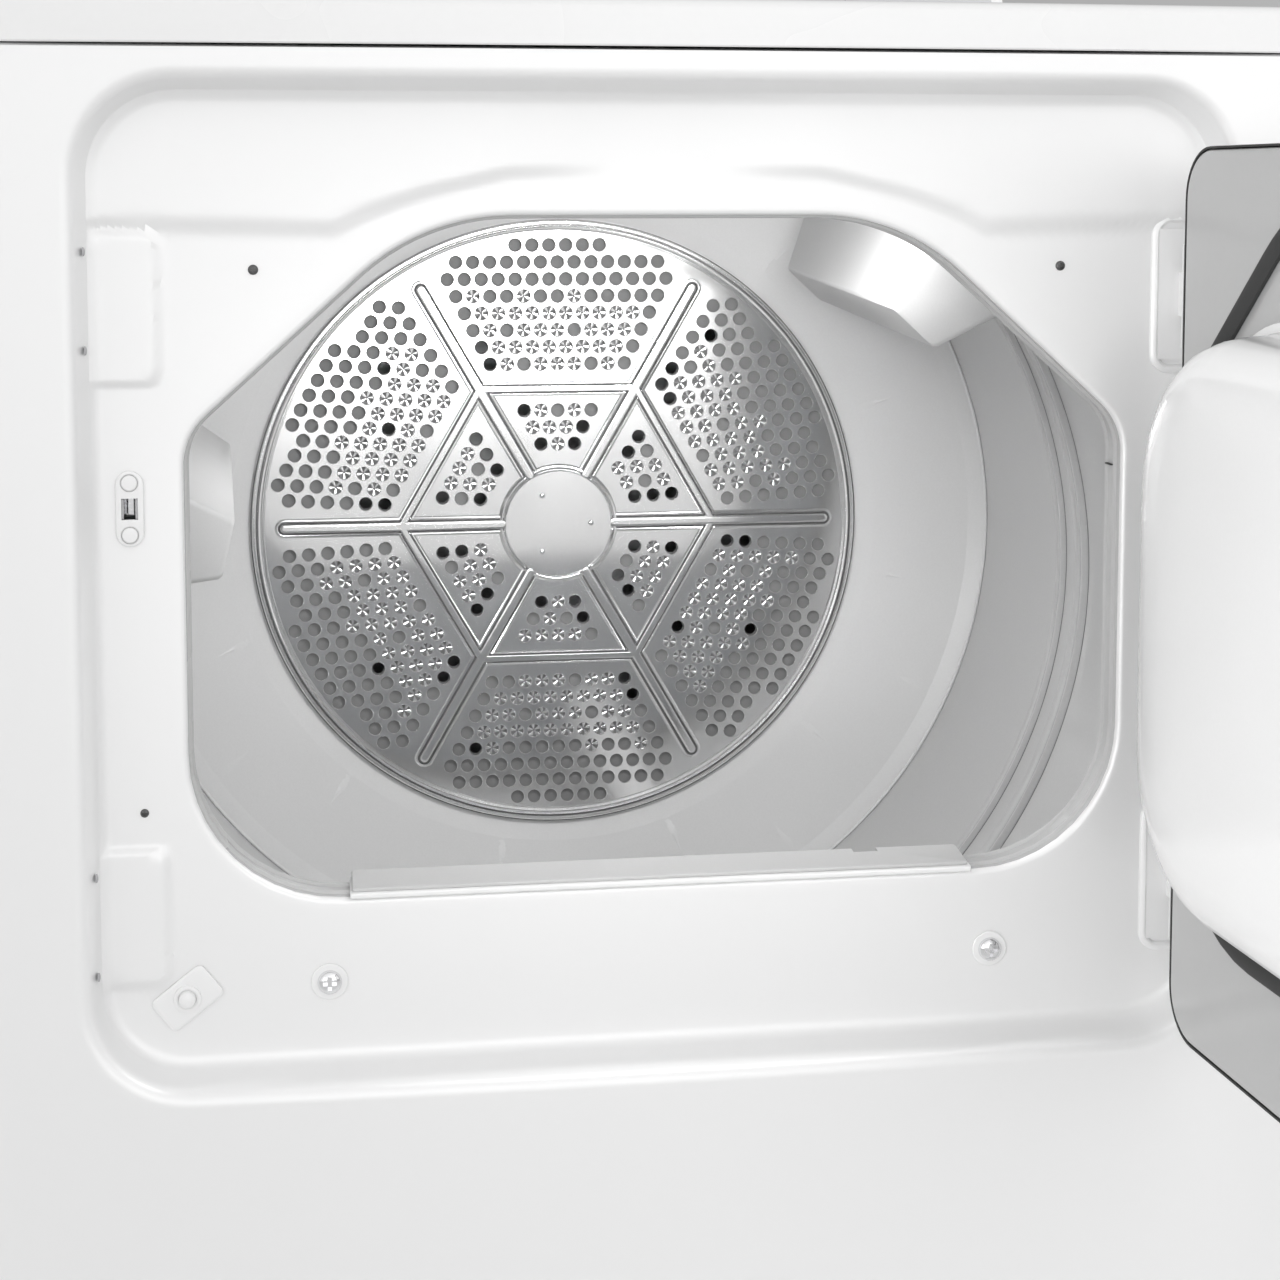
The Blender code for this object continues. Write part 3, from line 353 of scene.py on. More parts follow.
    @staticmethod
    def combine(obj: bpy.types.Object, tools: Sequence[bpy.types.Object], way: str = "DIFFERENCE") -> None:
        """Cuts the tools from obj, or joins them to it, and removes them.

        Args:
            obj: The piece that is kept.
            tools: Closed pieces that don't touch each other, used once.
            way: DIFFERENCE to cut, UNION to join.
        """
        tool = Bench.joined(tools)
        modifier = obj.modifiers.new("tool", "BOOLEAN")
        modifier.operation = way
        modifier.solver = "MANIFOLD"
        modifier.object = tool
        Bench.apply(obj)
        bpy.data.objects.remove(tool, do_unlink=True)

    @staticmethod
    def joined(parts: Sequence[bpy.types.Object], name: Optional[str] = None) -> bpy.types.Object:
        """Joins objects into one mesh, under the first one's name or a new one."""
        Bench.pick(parts[0])
        for part in parts[1:]:
            part.select_set(True)
        if len(parts) > 1:
            bpy.ops.object.join()
        obj = bpy.context.view_layer.objects.active
        if name:
            obj.name = obj.data.name = name
        return obj

    @staticmethod
    def copy(obj: bpy.types.Object, name: str, matrix: Matrix) -> bpy.types.Object:
        """A copy of obj with its own mesh, moved by a matrix."""
        made = obj.copy()
        made.data = obj.data.copy()
        made.data.transform(matrix)
        made.name = made.data.name = name
        bpy.context.scene.collection.objects.link(made)
        return made

    @staticmethod
    def soften(obj: bpy.types.Object) -> None:
        """Shades obj smooth, except across its sharp edges."""
        Bench.pick(obj)
        bpy.ops.object.shade_smooth_by_angle(angle=SMOOTH_ANGLE)


# ---------------------------------------------------------------- finishes
class Texture(Enum):
    """The fine pattern that a finish shows close up."""

    ORANGE_PEEL = "orange_peel"
    BRUSHED = "brushed"
    SPANGLE = "spangle"
    MOULDED = "moulded"
    FIBRES = "fibres"
    WOVEN = "woven"


@dataclass(frozen=True)
class Finish:
    """One surface finish, made from the shader's own sockets and a pattern on the piece's own coordinates."""

    name: str
    slot: str
    colour: Point3
    roughness: float
    metallic: float = 0.0
    coat: float = 0.0
    sheen: float = 0.0
    texture: Texture = Texture.ORANGE_PEEL
    scale: float = 260.0
    depth: float = 0.00002
    shade: float = 0.03
    gloss: float = 0.05
    stretch: Point3 = (1.0, 1.0, 1.0)

    def material(self) -> bpy.types.Material:
        """Finds or makes this finish's material.

        Returns:
            The node-based material.
        """
        found = bpy.data.materials.get(self.name)
        if found:
            return found
        made = bpy.data.materials.new(self.name)
        made.use_nodes = True
        tree = made.node_tree
        shader = tree.nodes["Principled BSDF"]
        for socket, value in (
            ("Metallic", self.metallic),
            ("Coat Weight", self.coat),
            ("Coat Roughness", COAT_ROUGHNESS),
            ("Sheen Weight", self.sheen),
        ):
            shader.inputs[socket].default_value = value
        pattern = self.pattern(tree)
        wear = self.noise(tree, self.scale / WEAR_RATIO, 2.0)
        self.spread(tree, wear, shader.inputs["Roughness"], self.roughness, self.gloss)
        mix = tree.nodes.new("ShaderNodeMix")
        mix.data_type = "RGBA"
        mix.inputs["A"].default_value = (*[c * (1 - self.shade) for c in self.colour], 1.0)
        mix.inputs["B"].default_value = (*[min(1.0, c * (1 + self.shade)) for c in self.colour], 1.0)
        tree.links.new(pattern, mix.inputs["Factor"])
        tree.links.new(mix.outputs["Result"], shader.inputs["Base Color"])
        bump = tree.nodes.new("ShaderNodeBump")
        bump.inputs["Strength"].default_value = 1.0
        bump.inputs["Distance"].default_value = self.depth
        tree.links.new(pattern, bump.inputs["Height"])
        tree.links.new(bump.outputs["Normal"], shader.inputs["Normal"])
        return made

    def coordinates(self, tree: bpy.types.NodeTree) -> bpy.types.NodeSocket:
        """The piece's own coordinates, stretched along its axes."""
        source = tree.nodes.new("ShaderNodeTexCoord")
        mapping = tree.nodes.new("ShaderNodeMapping")
        mapping.inputs["Scale"].default_value = self.stretch
        tree.links.new(source.outputs["Object"], mapping.inputs["Vector"])
        return mapping.outputs["Vector"]

    def noise(self, tree: bpy.types.NodeTree, scale: float, detail: float) -> bpy.types.NodeSocket:
        """A soft noise from 0 to 1."""
        node = tree.nodes.new("ShaderNodeTexNoise")
        node.inputs["Scale"].default_value = scale
        node.inputs["Detail"].default_value = detail
        tree.links.new(self.coordinates(tree), node.inputs["Vector"])
        return node.outputs["Fac"]

    def spread(
        self, tree: bpy.types.NodeTree, source: bpy.types.NodeSocket, target: bpy.types.NodeSocket,
        middle: float, share: float,
    ) -> None:
        """Feeds target with values either side of middle, from a 0 to 1 source."""
        node = tree.nodes.new("ShaderNodeMapRange")
        node.inputs["To Min"].default_value = max(0.0, middle - share)
        node.inputs["To Max"].default_value = min(1.0, middle + share)
        tree.links.new(source, node.inputs["Value"])
        tree.links.new(node.outputs["Result"], target)

    def pattern(self, tree: bpy.types.NodeTree) -> bpy.types.NodeSocket:
        """The finish's fine pattern, as a height from 0 to 1."""
        if self.texture is Texture.SPANGLE:
            node = tree.nodes.new("ShaderNodeTexVoronoi")
            node.inputs["Scale"].default_value = self.scale
            tree.links.new(self.coordinates(tree), node.inputs["Vector"])
            separate = tree.nodes.new("ShaderNodeSeparateColor")
            tree.links.new(node.outputs["Color"], separate.inputs["Color"])
            return separate.outputs["Red"]
        if self.texture is Texture.WOVEN:
            return self.weave(tree)
        detail = {Texture.BRUSHED: 4.0, Texture.FIBRES: 8.0}.get(self.texture, 1.5)
        return self.noise(tree, self.scale, detail)

    def weave(self, tree: bpy.types.NodeTree) -> bpy.types.NodeSocket:
        """Two sets of crossing threads."""
        heights = []
        for axis in ("X", "Z"):
            wave = tree.nodes.new("ShaderNodeTexWave")
            wave.bands_direction = axis
            wave.inputs["Scale"].default_value = self.scale
            tree.links.new(self.coordinates(tree), wave.inputs["Vector"])
            heights.append(wave.outputs["Fac"])
        both = tree.nodes.new("ShaderNodeMath")
        both.operation = "MULTIPLY"
        for height, socket in zip(heights, both.inputs):
            tree.links.new(height, socket)
        return both.outputs["Value"]


def grey(value: float) -> Point3:
    """A neutral colour."""
    return (value, value, value)


def enamel(name: str, value: float, roughness: float, coat: float, shade: float = 0.01) -> Finish:
    """A white baked enamel."""
    return Finish(name, "white_enamel", grey(value), roughness, coat=coat, shade=shade, depth=0.00001)


def drum_paint(name: str, value: float, roughness: float, coat: float, shade: float) -> Finish:
    """A grey powder coat inside the drum."""
    return Finish(name, "grey_enamel", grey(value), roughness, coat=coat, scale=700, shade=shade)


def plastic(
    name: str, slot: str, colour: Point3, roughness: float, scale: float = 900.0, **more: float
) -> Finish:
    """A moulded surface."""
    return Finish(name, slot, colour, roughness, texture=Texture.MOULDED, scale=scale, **more)


ENAMEL = enamel("white_enamel", 0.88, 0.30, 0.35)
TOP_ENAMEL = enamel("worktop_enamel", 0.80, 0.26, 0.5)
# The flange is the front sheet's own white enamel, painted mid grey: painted shade inside the opening.
SHADED_FLANGE_ENAMEL = enamel("flange_enamel_painted_shade", 0.50, 0.26, 0.4, 0.02)
DRUM_COAT = drum_paint("drum_powder_coat", 0.60, 0.24, 0.5, 0.04)
# The seam bead is painted much lighter than the drum's coat: a painted highlight along the seam.
SEAM_PAINTED_HIGHLIGHT = drum_paint("drum_seam_bead_painted_highlight", 0.86, 0.22, 0.5, 0.02)
BACK_COAT = drum_paint("drum_back_coat", 0.78, 0.32, 0.3, 0.03)
# The door's inner pan is painted mid grey: painted shade on the pan.
DOOR_SHADED_GREY = Finish("door_inner_enamel_painted_shade", "grey_enamel", grey(0.46), 0.26, coat=0.4, shade=0.01, depth=0.00001)
DIFFUSER_STEEL = Finish(
    "diffuser_steel", "bright_steel", grey(0.93), 0.11, metallic=1.0, texture=Texture.BRUSHED,
    scale=90, depth=0.000004, shade=0.03, gloss=0.04, stretch=(8.0, 1.0, 0.6),
)
# A dark grey for the plate behind the diffuser: partly the chamber's own grey, partly painted shade seen through the
# holes.
SHADE_BAFFLE_GREY = Finish("baffle_painted_shade", "zinc_steel", grey(0.24), 0.55, texture=Texture.SPANGLE, scale=180)
# A near-black finish for thin rings that stand for shade: painted shade lines beside the drum's beads and on the
# diffuser's bars and rim.
PAINTED_SHADE_DARK = Finish("painted_shade_dark", "zinc_steel", grey(0.16), 0.35, metallic=0.3, scale=900)
CHROME = Finish("bright_chrome", "bright_steel", (0.80, 0.80, 0.81), 0.10, metallic=1.0, scale=900, gloss=0.03)
ZINC = Finish(
    "zinc_sheet", "zinc_steel", (0.58, 0.59, 0.60), 0.40, metallic=0.9, texture=Texture.SPANGLE,
    scale=110, depth=0.00001, shade=0.10, gloss=0.08,
)
DARK_SCREW = Finish("dark_screw", "zinc_steel", grey(0.12), 0.35, metallic=0.8, scale=900)
FASCIA_GREY = plastic("fascia_overlay", "grey_plastic", (0.62, 0.63, 0.64), 0.36, shade=0.02)
WHITE_PLASTIC = plastic("white_plastic", "white_plastic", grey(0.87), 0.32, shade=0.01)
DISH_PLASTIC = plastic(
    "dish_plastic", "white_plastic", grey(0.90), 0.20, 500.0, coat=0.5, depth=0.000006, shade=0.01
)
GREY_PLASTIC = plastic("grey_plastic", "grey_plastic", (0.42, 0.42, 0.43), 0.42, 1100.0, shade=0.05)
LIFTER_PLASTIC = plastic("lifter_plastic", "grey_plastic", grey(0.62), 0.40)
SCREEN_PLASTIC = plastic("screen_plastic", "grey_plastic", grey(0.56), 0.40)
MARKING = plastic("printed_marks", "grey_plastic", (0.16, 0.17, 0.18), 0.5)
RUBBER = plastic("black_rubber", "black_rubber", grey(0.045), 0.62, 800.0)
SCREEN_MESH = Finish(
    "screen_mesh", "grey_plastic", (0.30, 0.30, 0.31), 0.6, texture=Texture.WOVEN, scale=260,
    depth=0.0002, shade=0.3,
)
FELT = Finish(
    "pressed_felt", "felt", (0.52, 0.51, 0.49), 0.95, sheen=0.3, texture=Texture.FIBRES, scale=600,
    depth=0.0003, shade=0.15,
)
MOTOR_PAINT = Finish("motor_paint", "motor_metal", (0.30, 0.31, 0.32), 0.45, metallic=0.5, scale=500, shade=0.06)
HEATER_WIRE = Finish("heater_wire", "heater_wire", (0.30, 0.27, 0.25), 0.55, metallic=0.9, scale=500, shade=0.15)


# ---------------------------------------------------------------- places
class Stand(Enum):
    """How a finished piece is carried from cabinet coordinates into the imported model's frame."""

    CABINET = "cabinet"
    DOOR = "door"


class Places:
    """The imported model's own places: where the cabinet stands and how far its door is open."""

    def __init__(self) -> None:
        """Reads the cabinet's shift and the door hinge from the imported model."""
        self.shift = Vector((0.0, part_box("rear_panel")[1].y - REAR_Y, 0.0))
        hinge = next(joint for joint in frame["joints"] if joint["name"] == "door_hinge")
        self.hinge = Vector(hinge["pos_m"])
        self.open_angle = -radians(min(hinge["range_deg"]))

    def matrix(self, stand: Stand) -> Matrix:
        """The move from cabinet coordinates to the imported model's frame.

        Args:
            stand: Whether the piece belongs to the cabinet or to the door.

        Returns:
            The matrix for the piece's mesh.
        """
        shift = Matrix.Translation(self.shift)
        if stand is Stand.CABINET:
            return shift
        swing = Matrix.Rotation(self.open_angle, 4, "Z")
        return Matrix.Translation(self.hinge) @ swing @ Matrix.Translation(-self.hinge) @ shift

    def box(self, node: str) -> tuple[Vector, Vector]:
        """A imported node's corners in cabinet coordinates."""
        low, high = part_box(node)
        return low - self.shift, high - self.shift


PLACES = Places()


class Assembly:
    """A sub-assembly that hands its pieces over one by one."""

    def deliver(
        self,
        obj: bpy.types.Object,
        body: str,
        finish: Finish,
        replaces: Sequence[str] = (),
        stand: Stand = Stand.CABINET,
    ) -> bpy.types.Object:
        """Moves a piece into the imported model's frame, dresses it and sets it on its body.

        Args:
            obj: The piece, in cabinet coordinates.
            body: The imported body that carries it.
            finish: Its surface finish.
            replaces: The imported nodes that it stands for.
            stand: Whether it belongs to the cabinet or to the door.

        Returns:
            The piece.
        """
        Bench.soften(obj)
        obj.data.transform(PLACES.matrix(stand))
        obj.data.materials.clear()
        obj.data.materials.append(finish.material())
        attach(obj, body)
        if replaces:
            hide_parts(*replaces)
        log.info("%s rides on %s with %d faces", obj.name, body, len(obj.data.polygons))
        return obj


# ---------------------------------------------------------------- cabinet front
def opening_outline(grow: float = 0.0) -> Outline:
    """The loading opening: flat sill, round lower corners, slanting shoulders and a flat top.

    Args:
        grow: How far outside the opening's edge the outline runs.

    Returns:
        The closed (x, z) outline.
    """
    w = 0.2555 + grow
    low, high, shoulder_z, shoulder_x = 0.437 - grow, 0.802 + grow, 0.687, 0.129
    slant = grow * tan(radians(24))
    right = [(w, low, 0.080), (w, shoulder_z + slant, 0.036), (shoulder_x + slant, high, 0.120)]
    left = [(-x, z, radius) for x, z, radius in reversed(right)]
    return rounded([(x, z, radius + grow) for x, z, radius in (left[-1], *right, *left[:-1])], 10)


@dataclass
class FrontPanel(Assembly):
    """The bowed front sheet, with its pressed recess, hinge seats and the flange round the opening."""

    sheet: float = 0.0012
    edge_y: float = -0.025
    bow: float = 0.010
    face_y: float = -0.0018
    recess_half_w: float = 0.306
    recess_z: Point2 = (0.3445, 0.871)
    recess_corner: float = 0.050
    draft: float = 0.004
    rim_fillet: float = 0.0065
    edge_fillet: float = 0.0018
    ray_gap: float = 0.0045
    floor_fillet: float = 0.007
    lip_fillet: float = 0.0030
    flange_end: float = 0.0240
    top_rise: float = 0.0003
    step_height: float = 0.0032
    step_line: tuple[Point2, ...] = (
        (0.306, 0.7985), (0.176, 0.7952), (0.160, 0.8035), (0.130, 0.8140), (0.085, 0.8245), (0.0, 0.8270),
    )
    step_fade: Point2 = (0.02, 0.08)
    step_soft: float = 0.007
    seat_height: float = 0.0030
    seat_soft: float = 0.0045
    seat_corner: float = 0.007
    seat_x: Point2 = (-0.330, -0.2670)
    seat_ray_x: float = -0.286
    seat_ray_gap: float = 0.0011
    left_seats_z: tuple[Point2, Point2] = ((0.395, 0.4685), (0.715, 0.794))
    right_seats_z: tuple[Point2, Point2] = ((0.386, 0.474), (0.714, 0.802))
    right_seat_x: Point2 = (0.2700, 0.3055)
    right_seat_corner: float = 0.0115
    seat_bead: tuple[Point2, ...] = (
        (0.0, 0.0002), (0.0004, -0.0012), (0.0016, -0.0022), (0.0030, -0.0024), (0.0042, -0.0018),
        (0.0050, -0.0006), (0.0054, 0.0002),
    )
    flange_beads_y: Point2 = (0.0060, 0.0190)
    flange_bead: tuple[Point2, ...] = (
        (-0.0001, 0.0), (-0.0014, 0.0006), (-0.0018, 0.0016), (-0.0014, 0.0026), (-0.0001, 0.0032),
    )
    middle: Point2 = (0.0, 0.6078)
    low: Vector = field(default_factory=lambda: PLACES.box("front_panel")[0])
    high: Vector = field(default_factory=lambda: PLACES.box("front_panel")[1])

    def front_y(self, x: float) -> float:
        """The bowed face's depth at x."""
        return self.edge_y - self.bow * (1 - (x / self.high.x) ** 2)

    def recess(self, grow: float) -> Outline:
        """The recess's outline, grown outwards."""
        w, (low, high) = self.recess_half_w + grow, self.recess_z
        return rounded_rect((-w, w), (low - grow, high + grow), self.recess_corner + grow, 14)

    def stations(self) -> list[float]:
        """The rays' directions from the recess's middle, closer together beside the hinge seats."""
        outline = self.recess(-0.02)
        places: list[Point2] = []
        for (x0, z0), (x1, z1) in zip(outline, outline[1:] + outline[:1]):
            count = max(1, round(hypot(x1 - x0, z1 - z0) / self.ray_gap))
            places += [(x0 + (x1 - x0) * k / count, z0 + (z1 - z0) * k / count) for k in range(count)]
        for edges in self.left_seats_z:
            for z in edges:
                places += [(self.seat_ray_x, z + self.seat_ray_gap * k) for k in range(-6, 7)]
        corners = [(x, z) for x in (self.low.x, self.high.x) for z in (self.low.z, self.high.z + self.top_rise)]
        angles = {round(self.heading(place), 4) for place in places}
        return sorted(angles | {self.heading(corner) for corner in corners})

    def heading(self, place: Point2) -> float:
        """The direction of a place from the recess's middle, from 0 to a full turn."""
        return atan2(place[1] - self.middle[1], place[0] - self.middle[0]) % (2 * pi)

    def relief(self, x: float, z: float) -> float:
        """How far the recess floor stands forward at a place: the upper step and the two left seats."""
        height = self.step_line[0][1]
        for (x0, z0), (x1, z1) in zip(self.step_line, self.step_line[1:]):
            if x1 <= abs(x) <= x0:
                height = z0 + (z1 - z0) * (x0 - abs(x)) / (x0 - x1)
        fade = smooth((abs(x) - self.step_fade[0]) / self.step_fade[1])
        raised = self.step_height * fade * smooth((z - height) / self.step_soft + 0.5)
        for seat_z in self.left_seats_z:
            inside = self.inside(x, z, self.seat_x, seat_z, self.seat_corner)
            raised = max(raised, self.seat_height * smooth(inside / self.seat_soft + 0.5))
        return raised

    @staticmethod
    def inside(x: float, z: float, xs: Point2, zs: Point2, radius: float) -> float:
        """How far a point lies inside a rounded rectangle, negative outside."""
        dx = abs(x - (xs[0] + xs[1]) / 2) - (xs[1] - xs[0]) / 2 + radius
        dz = abs(z - (zs[0] + zs[1]) / 2) - (zs[1] - zs[0]) / 2 + radius
        return radius - hypot(max(dx, 0.0), max(dz, 0.0)) - min(max(dx, dz), 0.0)

    def rings(self) -> list[Ring]:
        """Every ring of the sheet's front face, from its folded outer edge to the flange's end."""
        angles = self.stations()

        def cast(outline: Outline) -> list[Point2]:
            return [on_ray(outline, self.middle, angle) for angle in angles]

        edge = self.edge_fillet
        rings: list[Ring] = []

        def outer(inset: float) -> Outline:
            low, high = self.low, self.high + Vector((0.0, 0.0, self.top_rise))
            return [
                (low.x + inset, low.z + inset), (high.x - inset, low.z + inset),
                (high.x - inset, high.z - inset), (low.x + inset, high.z - inset),
            ]

        rings.append([(x, -0.0008, z) for x, z in cast(outer(0.0))])
        for across, along in fillet(edge, 4):
            flat, y = along / edge, self.edge_y
            places = cast(outer(along))
            rings.append([(x, y + across + (self.front_y(x) - y) * flat, z) for x, z in places])
        start, rim = cast(outer(edge + 0.002)), cast(self.recess(self.rim_fillet + 0.001))
        for share in (0.0, 0.2, 0.4, 0.6, 0.8, 1.0):
            rings.append([(x, self.front_y(x), z) for x, z in between(start, rim, share)])
        for across, along in fillet(self.rim_fillet, 6):
            rings.append([(x, self.front_y(x) + along, z) for x, z in cast(self.recess(across))])
        rings += self.floor_turn(cast)
        start, end = cast(self.recess(-self.draft - self.floor_fillet)), cast(opening_outline(self.lip_fillet))
        steps = 26
        for k in range(1, steps + 1):
            share = k / steps
            fade = 1 - smooth(share * 6 - 5)
            places = between(start, end, share)
            rings.append([(x, self.face_y - self.relief(x, z) * fade, z) for x, z in places])
        for across, along in fillet(self.lip_fillet, 5)[1:]:
            rings.append([(x, self.face_y + along, z) for x, z in cast(opening_outline(across))])
        return rings

    def floor_turn(self, cast: Callable[[Outline], list[Point2]]) -> list[Ring]:
        """The rings of the fillet between the recess's wall and its floor."""
        rings: list[Ring] = []
        radius = self.floor_fillet
        for k in range(7):
            turn = pi / 2 * k / 6
            grow = -self.draft - radius * (1 - cos(turn))
            depth = radius * (1 - sin(turn))
            ring = cast(self.recess(grow))
            rings.append([(x, self.face_y - depth - self.relief(x, z) * smooth(turn), z) for x, z in ring])
        return rings

    def flange(self) -> list[Ring]:
        """The rings of the flange, which turns into the dryer with two pressed beads."""
        angles = self.stations()
        start = self.face_y + self.lip_fillet
        rows = [(0.0008, start - 0.0004), (-0.0001, start + 0.0001)]
        rows += [(grow, y + along) for y in self.flange_beads_y for grow, along in self.flange_bead]
        rows += [(-0.0001, self.flange_end)]
        made: list[Ring] = []
        for grow, y in rows:
            outline = opening_outline(grow)
            made.append([(x, y, z) for x, z in (on_ray(outline, self.middle, angle) for angle in angles)])
        return made

    def build(self) -> None:
        """Makes the sheet, the flange and the beads of the right hinge seats."""
        panel = self.sheet_of("front_panel_skin", self.rings())
        x, z = CATCH
        cuts = [Bench.block("catch_cut", (x - 0.0055, -0.01, z - 0.0165), (x + 0.0055, 0.01, z + 0.0165))]
        x, z = SWITCH
        cuts.append(Bench.rod("switch_cut", (x, -0.012, z), (x, 0.012, z), 0.0085))
        z = DUCT_SCREWS_Z
        cuts += [Bench.rod("screw_cut", (x, -0.01, z), (x, 0.01, z), 0.003) for x in DUCT_SCREWS_X]
        Bench.combine(panel, cuts)
        self.deliver(panel, "cabinet", ENAMEL, ["front_panel"])
        flange = self.sheet_of("opening_flange", self.flange())
        w, (near, far) = SCREEN_SLOT_X, SCREEN_SLOT_Y
        Bench.combine(flange, [Bench.block("slot_cut", (-w, near, 0.430), (w, far, 0.445))])
        # The flange takes the darker copy of the front's enamel: painted shade.
        self.deliver(flange, "cabinet", SHADED_FLANGE_ENAMEL)
        seam = Bench.block("flange_seam", (0.2532, 0.0100, 0.6617), (0.2550, 0.0190, 0.6624))
        self.deliver(seam, "cabinet", RUBBER)
        for number, seat_z in enumerate(self.right_seats_z, 1):
            rings = [
                upright(inset_rect(self.right_seat_x, seat_z, self.right_seat_corner, i), self.face_y + y)
                for i, y in self.seat_bead
            ]
            self.deliver(Bench.skin(f"hinge_seat_bead_{number}", rings, looped=True), "cabinet", ENAMEL)

    def sheet_of(self, name: str, rings: Sequence[Ring]) -> bpy.types.Object:
        """A piece of the front's sheet, with its wall behind the rings."""
        made = Bench.facing(Bench.skin(name, rings), (0, -1, 0))
        return Bench.walled(made, self.sheet)


@dataclass
class FrontFittings(Assembly):
    """Sill, lint screen, catch, door switch and the front's screws."""

    sill_half_w: float = 0.172
    sill_top: float = 0.4400
    screen_top: float = 0.4420
    plate_y: float = -0.0022
    catch_caps: tuple[tuple[str, float], ...] = (("lower", -0.0137), ("upper", 0.0137))
    switch_tilt: float = radians(38)
    bars: int = 5
    screw_seat_y: float = -0.0019
    bulkhead_screws: tuple[Point2, ...] = ((-0.218, 0.774), (0.218, 0.774), (-0.2785, 0.488))
    wall_plugs_z: tuple[float, ...] = (0.405, 0.458, 0.7335, 0.784)

    def build(self) -> None:
        """Makes every fitting."""
        self.build_sill()
        self.build_lint_screen()
        self.build_catch()
        self.build_switch()
        self.build_screws()

    def build_sill(self) -> None:
        """The white moulded strip over the flange, with its nose and the screen's slot."""
        top, under = self.sill_top, self.sill_top - 0.0022
        section = [
            (0.0262, under), (0.0262, top), (-0.0024, top), (-0.0034, top - 0.0003), (-0.0040, top - 0.0010),
            (-0.0040, top - 0.0022), (-0.0036, top - 0.0028), (-0.0028, top - 0.0030), (-0.0024, top - 0.0026),
        ]
        w, end = self.sill_half_w - 0.0004, 0.0006
        rings = [
            [(x, y + (shrink if y < 0 else -shrink), z) for y, z in section]
            for x, shrink in ((-w, end), (-w + end, 0.0), (w - end, 0.0), (w, end))
        ]
        sill = Bench.skin("sill_strip", rings, (True, True))
        w, (near, far) = SCREEN_SLOT_X - 0.0005, SCREEN_SLOT_Y
        Bench.combine(sill, [Bench.block("slot_cut", (-w, near, 0.42), (w, far, 0.45))])
        self.deliver(sill, "cabinet", WHITE_PLASTIC, ["sill_trim"])

    def build_lint_screen(self) -> None:
        """The grey screen: a ribbed frame, its mesh, and the wide cap that it is lifted by."""
        low, high = PLACES.box("lint_screen")
        top = self.sill_top + 0.0003
        span = (high.x - low.x - 0.012) / self.bars
        holes = [
            Bench.block("pane", (x, low.y - 0.01, low.z + 0.010), (x + span - 0.004, high.y + 0.01, 0.405))
            for x in (low.x + 0.008 + k * span for k in range(self.bars))
        ]
        grid = Bench.block("lint_screen_frame", tuple(low), (high.x, high.y, top), 0.0008, 2)
        Bench.combine(grid, holes)
        self.deliver(grid, "lint_screen", SCREEN_PLASTIC, ["lint_screen"])
        middle = (low.y + high.y) / 2
        mesh = Bench.block(
            "lint_screen_mesh", (low.x + 0.003, middle - 0.0004, low.z + 0.005),
            (high.x - 0.003, middle + 0.0004, 0.410),
        )
        self.deliver(mesh, "lint_screen", SCREEN_MESH)
        cap = rounded_rect((-0.1705, 0.1705), (-0.0012, 0.0255), 0.0015, 3)
        half_w, half_y = 0.170, 0.0125
        rings = []
        for inset, z in ((0.0, top), (0.0, self.screen_top - 0.0006), (0.0006, self.screen_top)):
            narrow, rise = 1 - inset / half_w, 0.0022 if z > top else 0
            rings.append([
                (x * narrow, y + inset, z) if y < half_y else (x * narrow, y - inset, z + rise) for x, y in cap
            ])
        lid = Bench.skin("lint_screen_cap", rings, (True, True))
        notch = Bench.block("notch_cut", (0.110, 0.0195, self.screen_top - 0.0008), (0.124, 0.03, 0.46))
        Bench.combine(lid, [notch])
        self.deliver(lid, "lint_screen", SCREEN_PLASTIC)

    def build_catch(self) -> None:
        """The stadium plate with its two caps and the sprung steel catch between them."""
        x, z = CATCH
        face = self.plate_y
        rows = ((0.0072, 0.0), (0.0072, 0.0010), (0.0068, 0.0015), (0.0060, 0.0017))
        rings = [upright(capsule((x, z - 0.01275), (x, z + 0.01275), r), face - out) for r, out in rows]
        plate = Bench.skin("catch_plate_moulding", rings, (True, True))
        slot = Bench.block("slot", (x - 0.0042, -0.01, z - 0.0056), (x + 0.0042, 0.01, z + 0.0056))
        wells = [
            Bench.rod("well", (x, face - 0.01, z + up), (x, face - 0.0004, z + up), 0.0047, 28)
            for _, up in self.catch_caps
        ]
        Bench.combine(plate, [slot, *wells])
        self.deliver(plate, "cabinet", WHITE_PLASTIC, ["catch_plate"])
        front = face - 0.0017
        profile = [
            (0.0041, front + 0.0012), (0.0041, front - 0.0004), (0.0036, front - 0.0010), (0.0012, front - 0.0012),
        ]
        for label, up in self.catch_caps:
            cap = Bench.turned(f"catch_cap_{label}", profile, (x, z + up), 28, (True, True))
            self.deliver(cap, "cabinet", WHITE_PLASTIC)
        section = [
            (0.0041, 0.0140), (0.0041, -0.0030), (0.0030, -0.0042), (0.0018, 0.0004), (0.0021, 0.0010),
            (0.0030, -0.0030), (0.0035, -0.0022), (0.0035, 0.0140),
        ]
        jaws = []
        for side in (-1, 1):
            rings = [[(x + side * u, y, z + w) for u, y in section] for w in (-0.0052, -0.0047, 0.0047, 0.0052)]
            jaws.append(Bench.skin("jaw", rings, (True, True)))
        back = Bench.block("catch_back", (x - 0.0041, 0.0070, z - 0.0052), (x + 0.0041, 0.0078, z + 0.0052))
        catch = Bench.joined([*jaws, back], "door_catch_spring")
        self.deliver(catch, "cabinet", CHROME, ["door_catch"])

